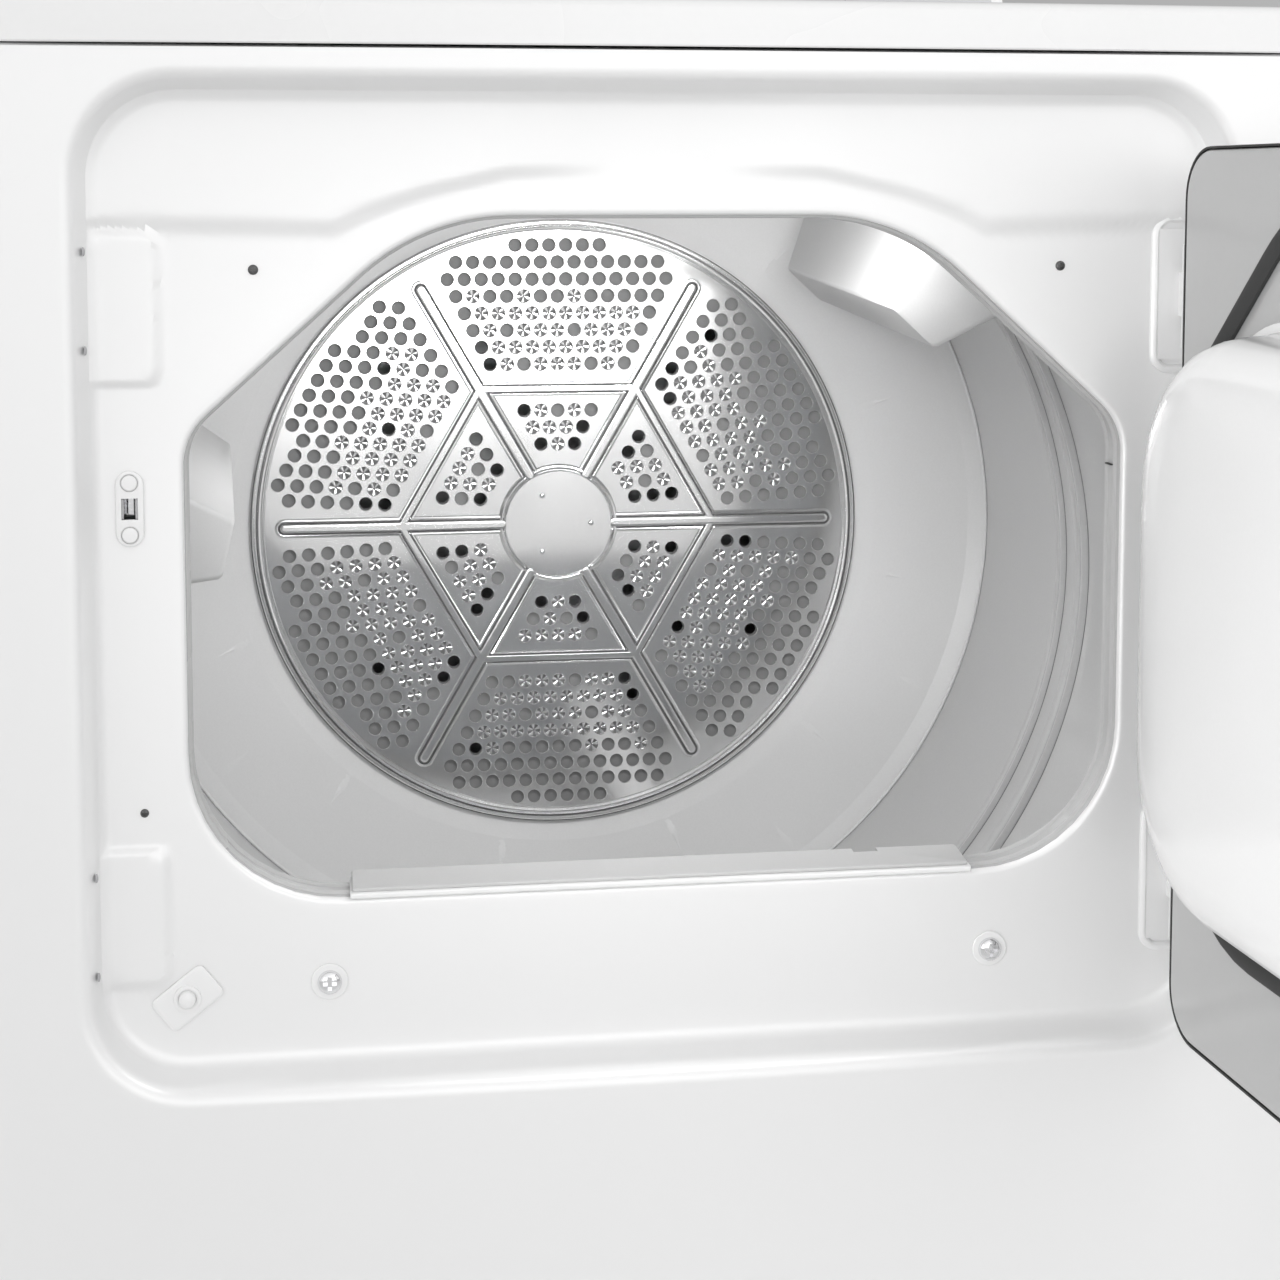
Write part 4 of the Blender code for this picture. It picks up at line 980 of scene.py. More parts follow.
    def build_switch(self) -> None:
        """The tilted switch bezel and the round plunger in it."""
        x, z = SWITCH
        face = self.plate_y
        rows = ((0.0, face), (0.0, face - 0.0010), (0.0006, face - 0.0015), (0.0016, face - 0.0017))
        rings = [
            upright(rounded_rect((-0.0170 + i, 0.0170 - i), (-0.0105 + i, 0.0105 - i), 0.0035, 6), y)
            for i, y in rows
        ]
        bezel = Bench.skin("switch_bezel", rings, (True, True))
        well = Bench.rod("well", (0, -0.01, 0), (0, 0.01, 0), 0.0054)
        Bench.combine(bezel, [well])
        rim = [
            (0.0074, face - 0.0016), (0.0072, face - 0.0026), (0.0058, face - 0.0028), (0.00475, face - 0.0022),
            (0.00475, 0.020), (0.0078, 0.020), (0.0078, face - 0.0010),
        ]
        collar = Bench.turned("collar", rim, (0, 0), 32, looped=True)
        bezel = Bench.joined([bezel, collar], "switch_bezel")
        bezel.data.transform(Matrix.Translation((x, 0, z)) @ Matrix.Rotation(-self.switch_tilt, 4, "Y"))
        self.deliver(bezel, "cabinet", WHITE_PLASTIC, ["door_switch_plate"])
        low = PLACES.box("door_switch_plunger")[0].y
        profile = [
            (0.0008, low), (0.0030, low + 0.0003), (0.0042, low + 0.0012), (0.0046, low + 0.0026), (0.0046, 0.015),
        ]
        stem = Bench.turned("switch_plunger_stem", profile, (x, z), 28, (True, True))
        self.deliver(stem, "switch_plunger", WHITE_PLASTIC, ["door_switch_plunger"])

    def screw(self, name: str, centre: Point2, y: float, radius: float, washer: bool, finish: Finish) -> None:
        """A screw head with a cross recess, on a white washer where it has one.

        Args:
            name: The piece's name.
            centre: Its (x, z) place.
            y: The depth of the surface it sits on.
            radius: The head's radius.
            washer: Whether a white washer lies under it.
            finish: The head's finish.
        """
        seat = y - (0.0012 if washer else 0.0)
        profile = [
            (radius, seat + 0.0002), (radius * 0.97, seat - radius * 0.18), (radius * 0.82, seat - radius * 0.36),
            (radius * 0.55, seat - radius * 0.48), (radius * 0.2, seat - radius * 0.53),
        ]
        head = Bench.turned(name, profile, centre, 28, (True, True))
        deep = seat - radius * 0.06
        cross = [
            Bench.block("bar", (-radius * a, seat - radius, -radius * b), (radius * a, deep, radius * b))
            for a, b in ((0.56, 0.17), (0.17, 0.56))
        ]
        Bench.combine(cross[0], [cross[1]], "UNION")
        cross[0].data.transform(Matrix.Translation((centre[0], 0, centre[1])))
        Bench.combine(head, [cross[0]])
        self.deliver(head, "cabinet", finish, [name.replace("_head", "")] if washer else [])
        if washer:
            flat, bore = radius * 1.5, radius * 0.45
            ring = [
                (bore, y - 0.0001), (flat, y - 0.0001), (flat, y - 0.0008), (flat * 0.94, y - 0.0012),
                (bore, y - 0.0012),
            ]
            made = Bench.turned(f"{name}_washer", ring, centre, 32, looped=True)
            self.deliver(made, "cabinet", WHITE_PLASTIC)

    def build_screws(self) -> None:
        """The bright duct screws, the small dark screws and the plugs in the recess's left wall."""
        for label, x in zip(("left", "right"), DUCT_SCREWS_X):
            place = (x, DUCT_SCREWS_Z)
            self.screw(f"duct_screw_{label}_head", place, self.screw_seat_y, 0.0066, True, CHROME)
        for number, place in enumerate(self.bulkhead_screws, 1):
            radius = 0.0027 if number < 3 else 0.0023
            self.screw(f"bulkhead_screw_{number}", place, self.screw_seat_y, radius, False, DARK_SCREW)
        profile = [(0.0024, 0.0), (0.0022, 0.0008), (0.0010, 0.0012)]
        for number, z in enumerate(self.wall_plugs_z, 1):
            plug = Bench.turned(f"wall_plug_{number}", profile, (0, 0), 20, (True, True))
            plug.data.transform(Matrix.Translation((-0.3030, -0.0150, z)) @ Matrix.Rotation(-pi / 2, 4, "Z"))
            self.deliver(plug, "cabinet", GREY_PLASTIC)


# ---------------------------------------------------------------- drum
@dataclass
class Drum(Assembly):
    """The drum's beaded shell, its creased conical back and its three lifters."""

    axis_z: float = field(default_factory=lambda: sum(corner.z for corner in PLACES.box("drum_shell")) / 2)
    radius: float = field(default_factory=lambda: PLACES.box("drum_shell")[1].x)
    front_y: float = field(default_factory=lambda: PLACES.box("drum_shell")[0].y)
    rear_y: float = field(default_factory=lambda: PLACES.box("drum_shell")[1].y)
    wall: float = 0.001
    segments: int = 288
    beads: tuple[Point3, ...] = ((0.060, 0.0040, 0.0020), (0.281, 0.0070, 0.0048), (0.325, 0.0050, 0.0038))
    bead_edge: float = 0.0022
    creases: int = 12
    crease_bands: Point2 = (0.36, 0.64)
    crease_height: float = 0.0024
    crease_half_w: float = 0.0034
    cone_inner_r: float = 0.2405
    cone_inner_y: float = 0.5478
    cone_rows: int = 26
    flange_r: float = 0.2283
    lifter_angles: tuple[float, float, float] = (47.0, 167.0, 287.0)

    def bead(self, y: float, half: float, height: float) -> list[Point2]:
        """A bead pressed inwards: two small rounded walls with a flat between them."""
        inner = self.radius - self.wall
        edge = self.bead_edge
        wall = [
            (inner, half + edge), (inner + 0.0007, half + edge * 0.85), (inner + 0.0007, half + edge * 0.6),
            (inner - height * 0.9, half + 0.0002), (inner - height, half - 0.0006),
            (inner - height * 0.8, half - edge),
        ]
        return [(r, y - along) for r, along in wall] + [(r, y + along) for r, along in reversed(wall)]

    def build(self) -> None:
        """Makes the shell, the back and the lifters."""
        inner, outer = self.radius - self.wall, self.radius
        profile: list[Point2] = [(inner, self.front_y + 0.0004)]
        for y, half, height in self.beads:
            profile += self.bead(y, half, height)
        profile += [
            (inner, self.rear_y), (outer, self.rear_y), (outer, self.front_y + 0.0004),
            (outer - 0.0003, self.front_y), (inner + 0.0003, self.front_y),
        ]
        self.deliver(self.ring("drum_wall", profile), "drum", DRUM_COAT, ["drum_shell"])
        # The small bead at the seam takes the lighter paint: a painted highlight.
        seam, r = self.rear_y - 0.0030, 0.0012
        bead = [(inner - r + r * cos(a), seam + r * sin(a)) for a in (pi * k / 5 for k in range(10))]
        self.deliver(self.ring("drum_seam_bead_painted_highlight", bead), "drum", SEAM_PAINTED_HIGHLIGHT)
        # Thin near-black rings beside the seam bead and on both sides of each pressed bead: painted shade lines.
        lines = [seam + 0.0014]
        lines += [y + side * (half + 0.0020) - 0.0004 for y, half, _ in self.beads for side in (-1, 1)]
        near, far, w = inner - 0.0002, inner + 0.0002, 0.0008
        shadows = [self.ring("line", [(far, y), (near, y), (near, y + w), (far, y + w)]) for y in lines]
        self.deliver(Bench.joined(shadows, "drum_bead_shadows"), "drum", PAINTED_SHADE_DARK)
        self.build_back()
        for number, angle in enumerate(self.lifter_angles, 1):
            self.build_lifter(number, radians(angle))

    def ring(self, name: str, profile: Sequence[Point2]) -> bpy.types.Object:
        """A ring about the drum's axis, from a closed loop of (radius, y) points."""
        return Bench.turned(name, profile, (0, self.axis_z), self.segments, looped=True)

    def build_back(self) -> None:
        """The conical ring behind the shell, with its short radial creases and its inner flange."""
        outer_y, inner_y, inner_r = self.rear_y + 0.0003, self.cone_inner_y, self.cone_inner_r
        rings: list[Ring] = []
        for row in range(self.cone_rows + 1):
            share = row / self.cone_rows
            r = self.radius - 0.0006 + (inner_r - self.radius) * share
            y = outer_y + (inner_y - outer_y) * (share + 0.10 * sin(pi * share))
            turns = [2 * pi * k / self.segments for k in range(self.segments)]
            rings.append([
                (r * cos(turn), y - self.crease(turn, share), self.axis_z + r * sin(turn)) for turn in turns
            ])
        for r, y in (
            (inner_r - 0.0012, inner_y + 0.0001), (self.flange_r, inner_y + 0.0001),
            (self.flange_r, inner_y + 0.0012), (inner_r, inner_y + 0.0014),
            (self.radius - 0.0002, outer_y + 0.0014),
        ):
            rings.append(upright(circle((0, self.axis_z), r, self.segments), y))
        back = Bench.skin("drum_back_cone", rings, looped=True)
        self.deliver(back, "drum", BACK_COAT, ["drum_back"])

    def crease(self, turn: float, share: float) -> float:
        """How far the cone is pressed forward at a place, by creases that alternate between two bands."""
        lift = 0.0
        for k in range(self.creases * 2):
            middle = self.crease_bands[k % 2]
            angle = pi * (k + 0.35) / self.creases
            away = abs((turn - angle + pi) % (2 * pi) - pi) * 0.29
            along = smooth(1.6 - abs(share - middle) / 0.14)
            lift = max(lift, self.crease_height * along * exp(-((away / self.crease_half_w) ** 2)))
        return lift

    def build_lifter(self, number: int, angle: float) -> None:
        """One hollow lifter: a broad foot, steep flanks, a flat crest and a sloping front end."""
        foot = self.radius - self.wall - 0.0065
        rows = (
            (foot, 0.0480, 0.075, 0.490, 0.0), (foot - 0.0030, 0.0476, 0.0755, 0.4895, 0.0),
            (foot - 0.0040, 0.0430, 0.080, 0.485, 0.0), (foot - 0.0690, 0.0185, 0.106, 0.461, 0.0150),
            (foot - 0.0705, 0.0165, 0.108, 0.459, 0.0155),
        )
        rings = []
        for r, half, front, rear, drop in rows:
            loop = rounded_rect((-half, half), (front, rear), 0.004, 3)
            rings.append([(x, y, r - drop * (rear - y) / (rear - front)) for x, y in loop])
        lifter = Bench.skin(f"lifter_{number}", rings, (False, True))
        Bench.facing(lifter, (0, 0, -1))
        Bench.walled(lifter, 0.0025)
        lifter.data.transform(Matrix.Translation((0, 0, self.axis_z)) @ Matrix.Rotation(pi / 2 - angle, 4, "Y"))
        self.deliver(lifter, "drum", LIFTER_PLASTIC, [f"drum_lifter_{number}"])


class Hole(Enum):
    """What shows behind one hole of the diffuser."""

    PLAIN = "plain"
    PIERCED = "pierced"
    OPEN = "open"


@dataclass
class Diffuser(Assembly):
    """The perforated disc: six sectors of holes between embossed ribs, a hub and a rim."""

    axis_z: float = field(default_factory=lambda: sum(corner.z for corner in PLACES.box("drum_shell")) / 2)
    face_y: float = 0.5455
    thickness: float = 0.0018
    radius: float = 0.2362
    hub_r: float = 0.0430
    rib_height: float = 0.0030
    rib_half_w: float = 0.0070
    hexagon_half_w: float = 0.0050
    rib_reach: float = 0.219
    hexagon_r: float = 0.1224
    pitch: float = 0.01315
    row_step: float = 0.0132
    hole_r: float = 0.0049
    outer_rows: tuple[int, ...] = (6, 13, 14, 13, 12, 11, 10, 9)
    outer_start: float = 0.2178
    inner_rows: tuple[int, ...] = (5, 4, 3)
    inner_start: float = 0.0890
    rivet_r: float = 0.0255
    baffle_r: Point2 = (0.0425, 0.2272)
    baffle_reach: float = 0.2205
    flaps: int = 5

    def holes(self) -> list[tuple[float, float, Hole]]:
        """Every hole's place on the disc, about its middle, and what shows behind it."""
        found: list[tuple[float, float, Hole]] = []
        for sector in range(6):
            turn = sector * pi / 3
            across, out = (cos(turn), sin(turn)), (-sin(turn), cos(turn))
            bands = ((self.outer_rows, self.outer_start, True), (self.inner_rows, self.inner_start, False))
            for rows, start, outer in bands:
                for row, count in enumerate(rows):
                    distance = start - row * self.row_step
                    for k in range(count):
                        along = (k - (count - 1) / 2) * self.pitch
                        u, v = (along * a + distance * b for a, b in zip(across, out))
                        found.append((u, v, self.kind(row, k, count, sector, outer)))
        return found

    @staticmethod
    def kind(row: int, k: int, count: int, sector: int, outer: bool) -> Hole:
        """What shows behind a hole, by its row and its place in the row."""
        scatter = (row * 7 + k * 5 + sector * 3) % 11
        if not outer:
            edge = k in (0, count - 1)
            return Hole.OPEN if edge and scatter < 7 else (Hole.PIERCED if scatter < 9 else Hole.PLAIN)
        if row < 3 or k in (0, count - 1):
            return Hole.OPEN if row > 5 and k == 0 else Hole.PLAIN
        if row % 2 and (k + sector) % 4 == 2:
            return Hole.OPEN if scatter in (3, 8) else Hole.PLAIN
        if row == 3:
            return Hole.PIERCED if k % 3 == 1 else Hole.PLAIN
        return Hole.PIERCED

    def place(self, u: float, v: float) -> Matrix:
        """The move that carries a shape from the disc's middle to a hole."""
        return Matrix.Translation((u, 0, self.axis_z + v))

    def build(self) -> None:
        """Makes the plate, its ribs and the dark grey plate behind it, whose grey is partly painted shade."""
        self.build_plate()
        self.build_ribs()
        self.build_baffle()

    def build_plate(self) -> None:
        """The flat plate with every hole cut through it, each with a rolled front edge."""
        y, back = self.face_y, self.face_y + self.thickness
        profile = [(self.radius, back), (self.radius, y + 0.0004), (self.radius - 0.0004, y)]
        plate = Bench.turned("diffuser_plate", profile, (0, self.axis_z), 180, (True, True))
        r = self.hole_r
        shape = [
            (r + 0.0008, y - 0.0010), (r + 0.0007, y), (r + 0.0003, y + 0.0003), (r, y + 0.0010),
            (r, back + 0.0010),
        ]
        master = Bench.turned("hole", shape, (0, 0), 16, (True, True))
        cutters = [Bench.copy(master, f"hole_{n}", self.place(*hole[:2])) for n, hole in enumerate(self.holes())]
        bpy.data.objects.remove(master, do_unlink=True)
        Bench.combine(plate, cutters)
        self.deliver(plate, "drum", DIFFUSER_STEEL, ["air_diffuser"])

    def rib(self, start: Point2, end: Point2, w: float) -> bpy.types.Object:
        """One embossed bar with round ends, a shoulder and a crown, between two places on the disc."""
        h, y = self.rib_height, self.face_y
        rows = (
            (w + 0.0006, -0.0003), (w + 0.0004, 0.0003), (w - 0.0002, 0.0012), (w - 0.0010, 0.0014),
            (w * 0.74, 0.0013), (w * 0.70, 0.0002), (w * 0.62, 0.0002), (w * 0.56, 0.0016),
            (w * 0.44, h - 0.0002), (w * 0.34, h), (w * 0.2, h),
        )
        rings = [upright(capsule(start, end, radius), y - height) for radius, height in rows]
        return Bench.skin("rib", rings, (True, True))

    def groove(self, start: Point2, end: Point2, w: float) -> bpy.types.Object:
        """A near-black band in the dip between a bar's shoulder and its crown: painted shade."""
        rows = ((w * 0.74, 0.0002), (w * 0.74, 0.0016), (w * 0.60, 0.0016), (w * 0.60, 0.0002))
        rings = [upright(capsule(start, end, radius), self.face_y - height) for radius, height in rows]
        return Bench.skin("groove", rings, looped=True)

    def bars(self) -> list[tuple[Point2, Point2, float]]:
        """The ends and half width of each bar: the six spokes and the hexagon's sides, in turn."""
        found = []
        for k in range(6):
            a, b = k * pi / 3, (k + 1) * pi / 3
            spoke = [self.polar(r, a) for r in (self.hub_r + 0.001, self.rib_reach - self.rib_half_w)]
            found.append((*spoke, self.rib_half_w))
            found.append((self.polar(self.hexagon_r, a), self.polar(self.hexagon_r, b), self.hexagon_half_w))
        return found

    def polar(self, r: float, turn: float) -> Point2:
        """The (x, z) place at a radius and a direction from the disc's middle."""
        return (r * cos(turn), r * sin(turn) + self.axis_z)

    def build_ribs(self) -> None:
        """The three crossing bars, the hexagon between them, the hub with its rivets, and the rim."""
        y, h = self.face_y, self.rib_height
        ribs = [self.rib(*bar) for bar in self.bars()]
        hub = [
            (self.hub_r + 0.0040, y + 0.0003), (self.hub_r + 0.0036, y - 0.0006), (self.hub_r + 0.0028, y - 0.0018),
            (self.hub_r + 0.0016, y - 0.0022), (self.hub_r + 0.0006, y - 0.0014), (self.hub_r, y - 0.0012),
            (self.hub_r - 0.0008, y - 0.0020), (self.hub_r - 0.0018, y - h), (0.010, y - h - 0.0001),
        ]
        ribs.append(Bench.turned("hub", hub, (0, self.axis_z), 96, (True, True)))
        shade_bands = [self.groove(*bar) for bar in self.bars()]
        # Two thin near-black rings, one inside the rim and one in the gap between the rim and the cone: painted
        # shade.
        for r in (self.radius - 0.0030, self.radius + 0.0012):
            far, near = r + 0.0005, r - 0.0004
            ring = [(far, y), (far, y - 0.0012), (near, y - 0.0012), (near, y)]
            shade_bands.append(Bench.turned("groove", ring, (0, self.axis_z), 180, looped=True))
        self.deliver(Bench.joined(shade_bands, "diffuser_painted_shade_lines"), "drum", PAINTED_SHADE_DARK)
        base = ribs[0]
        for rib in ribs[1:]:
            Bench.combine(base, [rib], "UNION")
        base.name = base.data.name = "diffuser_ribs"
        self.deliver(base, "drum", DIFFUSER_STEEL)
        self.build_rim()
        dome = [
            (0.0022, y - h + 0.0002), (0.0020, y - h - 0.0005), (0.0012, y - h - 0.0009), (0.0004, y - h - 0.0010),
        ]
        for k in range(3):
            place = self.polar(self.rivet_r, 2 * pi * k / 3)
            self.deliver(Bench.turned(f"hub_rivet_{k + 1}", dome, place, 20, (True, True)), "drum", CHROME)

    def build_rim(self) -> None:
        """The rolled rim, with its fine rings inside."""
        y, h, out = self.face_y, self.rib_height, self.radius + 0.0006
        rows = (
            (0.0, 0.0003), (0.0, -0.0022), (0.0008, -h), (0.0020, -h), (0.0028, -0.0022), (0.0031, 0.0002),
            (0.0041, 0.0002), (0.0045, -0.0022), (0.0052, -0.0028), (0.0062, -0.0026), (0.0070, -0.0014),
            (0.0074, -0.0004), (0.0080, -0.0004), (0.0086, -0.0010), (0.0092, -0.0010), (0.0098, 0.0003),
        )
        rim = [(out - inset, y + along) for inset, along in rows]
        made = Bench.turned("diffuser_rim", rim, (0, self.axis_z), 240, looped=True)
        self.deliver(made, "drum", DIFFUSER_STEEL)

    def build_baffle(self) -> None:
        """The grey plate behind the disc, open behind some holes, with petals that the others' piercing left; it
        stands for the dim chamber behind the holes, so its dark grey is partly the chamber's own grey and partly
        painted shade.
        """
        y = self.face_y + 0.0038
        inner, outer = self.baffle_r
        ring = [(outer, y), (outer, y + 0.0008), (inner, y + 0.0008), (inner, y)]
        shade_baffle = Bench.turned("diffuser_shade_baffle", ring, (0, self.axis_z), 120, looped=True)
        hole = Bench.rod("open", (0, y - 0.003, 0), (0, y + 0.004, 0), self.hole_r * 0.92, 14)
        petals, cutters = [], []
        petal = self.petals(y)
        for n, (u, v, kind) in enumerate(self.holes()):
            if hypot(u, v) > self.baffle_reach:
                continue
            if kind is Hole.OPEN:
                cutters.append(Bench.copy(hole, f"open_{n}", self.place(u, v)))
            elif kind is Hole.PIERCED:
                spin = Matrix.Rotation(atan2(v, u), 4, "Y")
                petals.append(Bench.copy(petal, f"petal_{n}", self.place(u, v) @ spin))
        Bench.combine(shade_baffle, cutters)
        for spare in (hole, petal):
            bpy.data.objects.remove(spare, do_unlink=True)
        self.deliver(shade_baffle, "drum", SHADE_BAFFLE_GREY)
        self.deliver(Bench.joined(petals, "diffuser_petals"), "drum", DIFFUSER_STEEL)

    def petals(self, y: float) -> bpy.types.Object:
        """The five small flaps behind one pierced hole, leaning back from its edge to its middle."""
        flaps = []
        r, middle_y = self.hole_r, y - 0.0010
        middle = Matrix.Translation((0, middle_y, 0))
        flatten = middle @ Matrix.Diagonal((1, 0.22, 1, 1)) @ middle.inverted()
        for k in range(self.flaps):
            a = 2 * pi * k / self.flaps
            Bench.clear()
            bpy.ops.mesh.primitive_cone_add(
                vertices=4, radius1=r * 0.30, radius2=r * 0.06, depth=r * 0.80,
                location=(r * 0.56 * cos(a), middle_y, r * 0.56 * sin(a)), rotation=(0, -a - pi / 2, 0),
            )
            flap = Bench.settled("flap")
            flap.data.transform(flatten)
            flaps.append(flap)
        return Bench.joined(flaps, "petal")


# ---------------------------------------------------------------- door
@dataclass
class Door(Assembly):
    """The side-swing door, modelled shut: skin, inner panel, seal, pull cup and the domed dish."""

    x: Point2 = (-0.297, 0.2765)
    z: Point2 = (0.3505, 0.8385)
    front_y: float = -0.034
    back_y: float = -0.0085
    corners: Point2 = (0.040, 0.028)
    hole_half_w: float = 0.222
    hole_z: Point2 = (0.461, 0.730)
    hole_corner: float = 0.070
    middle: Point2 = (0.0, 0.5955)
    pull: tuple[Point2, Point2, float] = ((-0.2834, -0.2526), (0.5656, 0.6644), 0.0114)
    dome: tuple[Point2, ...] = (
        (0.0, 0.004), (0.0005, 0.012), (0.0022, 0.021), (0.0060, 0.0300), (0.0125, 0.0365), (0.0215, 0.0410),
        (0.0340, 0.0434), (0.0520, 0.0446), (0.0760, 0.0450),
    )

    def outline(self, inset: float, steps: int = 10) -> Outline:
        """The door's outline, drawn in."""
        latch, hinge = (max(0.002, r - inset) for r in self.corners)
        x0, x1, z0, z1 = self.x[0] + inset, self.x[1] - inset, self.z[0] + inset, self.z[1] - inset
        return rounded([(x0, z0, latch), (x1, z0, hinge), (x1, z1, hinge), (x0, z1, latch)], steps)

    def hole(self, grow: float, steps: int = 16) -> Outline:
        """The outline of the inner panel's hole, grown outwards."""
        w = self.hole_half_w + grow
        radius = max(0.012, self.hole_corner + grow)
        return rounded_rect((-w, w), (self.hole_z[0] - grow, self.hole_z[1] + grow), radius, steps)

    def hand_over(self, obj: bpy.types.Object, finish: Finish, replaces: Sequence[str] = ()) -> None:
        """Delivers a door piece."""
        self.deliver(obj, "door", finish, replaces, Stand.DOOR)

    def build(self) -> None:
        """Makes every door piece."""
        self.build_skin()
        self.build_inner_panel()
        self.build_dish()
        self.build_seal()
        self.build_pull()

    def build_skin(self) -> None:
        """The outer tray, with a soft front edge and the pull's hole."""
        radius, seam = 0.0070, 0.0022
        rings = [upright(self.outline(0.0), self.back_y - seam)]
        rings += [upright(self.outline(along), self.front_y + across) for across, along in fillet(radius, 6)]
        skin = Bench.skin("door_skin", rings, (False, True))
        Bench.facing(skin, (0, -1, 0))
        Bench.walled(skin, 0.0009)
        (x0, x1), (z0, z1), r = self.pull
        grow = 0.0006
        outline = rounded_rect((x0 - grow, x1 + grow), (z0 - grow, z1 + grow), r)
        Bench.combine(skin, [Bench.slab("pull_cut", outline, (-0.045, -0.028))])
        self.hand_over(skin, ENAMEL, ["door_outer"])
        rows = ((0.0003, -0.0110), (0.0003, -0.0090), (0.0014, -0.0090), (0.0014, -0.0110))
        gasket = Bench.skin("door_edge_gasket", [upright(self.outline(i), y) for i, y in rows], looped=True)
        self.hand_over(gasket, RUBBER)

    def build_inner_panel(self) -> None:
        """The inner pan, with a thin joint to the skin all round and a turned-in hole for the dish."""
        angles = sorted({
            round(atan2(v - self.middle[1], u - self.middle[0]) % (2 * pi), 4)
            for u, v in (*self.outline(0.0, 12), *self.hole(0.0, 14))
        })

        def cast(outline: Outline, y: float) -> Ring:
            return upright([on_ray(outline, self.middle, angle) for angle in angles], y)

        r = 0.0020
        rings = [cast(self.outline(0.0022, 12), self.back_y - 0.0130)]
        rings += [cast(self.outline(0.0020 + along, 12), self.back_y - across) for across, along in fillet(r, 4)]
        rings += [cast(self.hole(0.0010 + r - along, 14), self.back_y) for along in (0.0, r)]
        rings += [cast(self.hole(0.0002, 14), self.back_y - 0.0012), cast(self.hole(0.0, 14), self.back_y - 0.0060)]
        panel = Bench.skin("door_inner_pan", rings)
        Bench.facing(panel, (0, 1, 0))
        Bench.walled(panel, 0.0009)
        # The inner pan's mid grey is painted shade.
        self.hand_over(panel, DOOR_SHADED_GREY, ["door_inner"])

    def build_dish(self) -> None:
        """The white dish that fills the opening: a flat band against the panel, then a soft dome."""
        base = 0.0150
        rows = [
            (0.0215, self.back_y + 0.0001), (0.0218, self.back_y + 0.0010), (0.0212, self.back_y + 0.0022),
            (0.0200, self.back_y + 0.0028), (base + 0.0032, self.back_y + 0.0031),
            (base + 0.0014, self.back_y + 0.0040), (base + 0.0003, self.back_y + 0.0062),
        ]
        rows += [(base - inset, y) for inset, y in self.dome]
        rings = [upright(self.hole(grow), y) for grow, y in rows]
        dish = Bench.skin("door_dish_dome", rings, (False, True))
        Bench.facing(dish, (0, 1, 0))
        Bench.walled(dish, 0.0020)
        self.hand_over(dish, DISH_PLASTIC, ["door_dish"])

    def build_seal(self) -> None:
        """The black lip seal round the dish."""
        profile = [
            (0.0110, -0.0083), (0.0205, -0.0083), (0.0205, -0.0060), (0.0190, -0.0040), (0.0172, -0.0030),
            (0.0148, -0.0030), (0.0128, -0.0042), (0.0110, -0.0062),
        ]
        rings = [upright(opening_outline(grow), y) for grow, y in profile]
        self.hand_over(Bench.skin("door_lip_seal", rings, looped=True), RUBBER, ["door_seal"])

    def build_pull(self) -> None:
        """The hand pull: a moulded cup let into the skin."""
        (x0, x1), (z0, z1), radius = self.pull
        rows = [
            (-0.0002, -0.0339), (0.0006, -0.03395), (0.0016, -0.03395), (0.0026, -0.03395), (0.0034, -0.0330),
            (0.0042, -0.0180), (0.0062, -0.0158), (0.0100, -0.0152),
        ]
        rings = [
            upright(rounded_rect((x0 + i, x1 - i), (z0 + i, z1 - i), max(0.003, radius - i)), y) for i, y in rows
        ]
        cup = Bench.skin("door_pull_cup", rings, (False, True))
        Bench.facing(cup, (0, -1, 0))
        Bench.walled(cup, 0.0014)
        self.hand_over(cup, WHITE_PLASTIC, ["door_pull"])


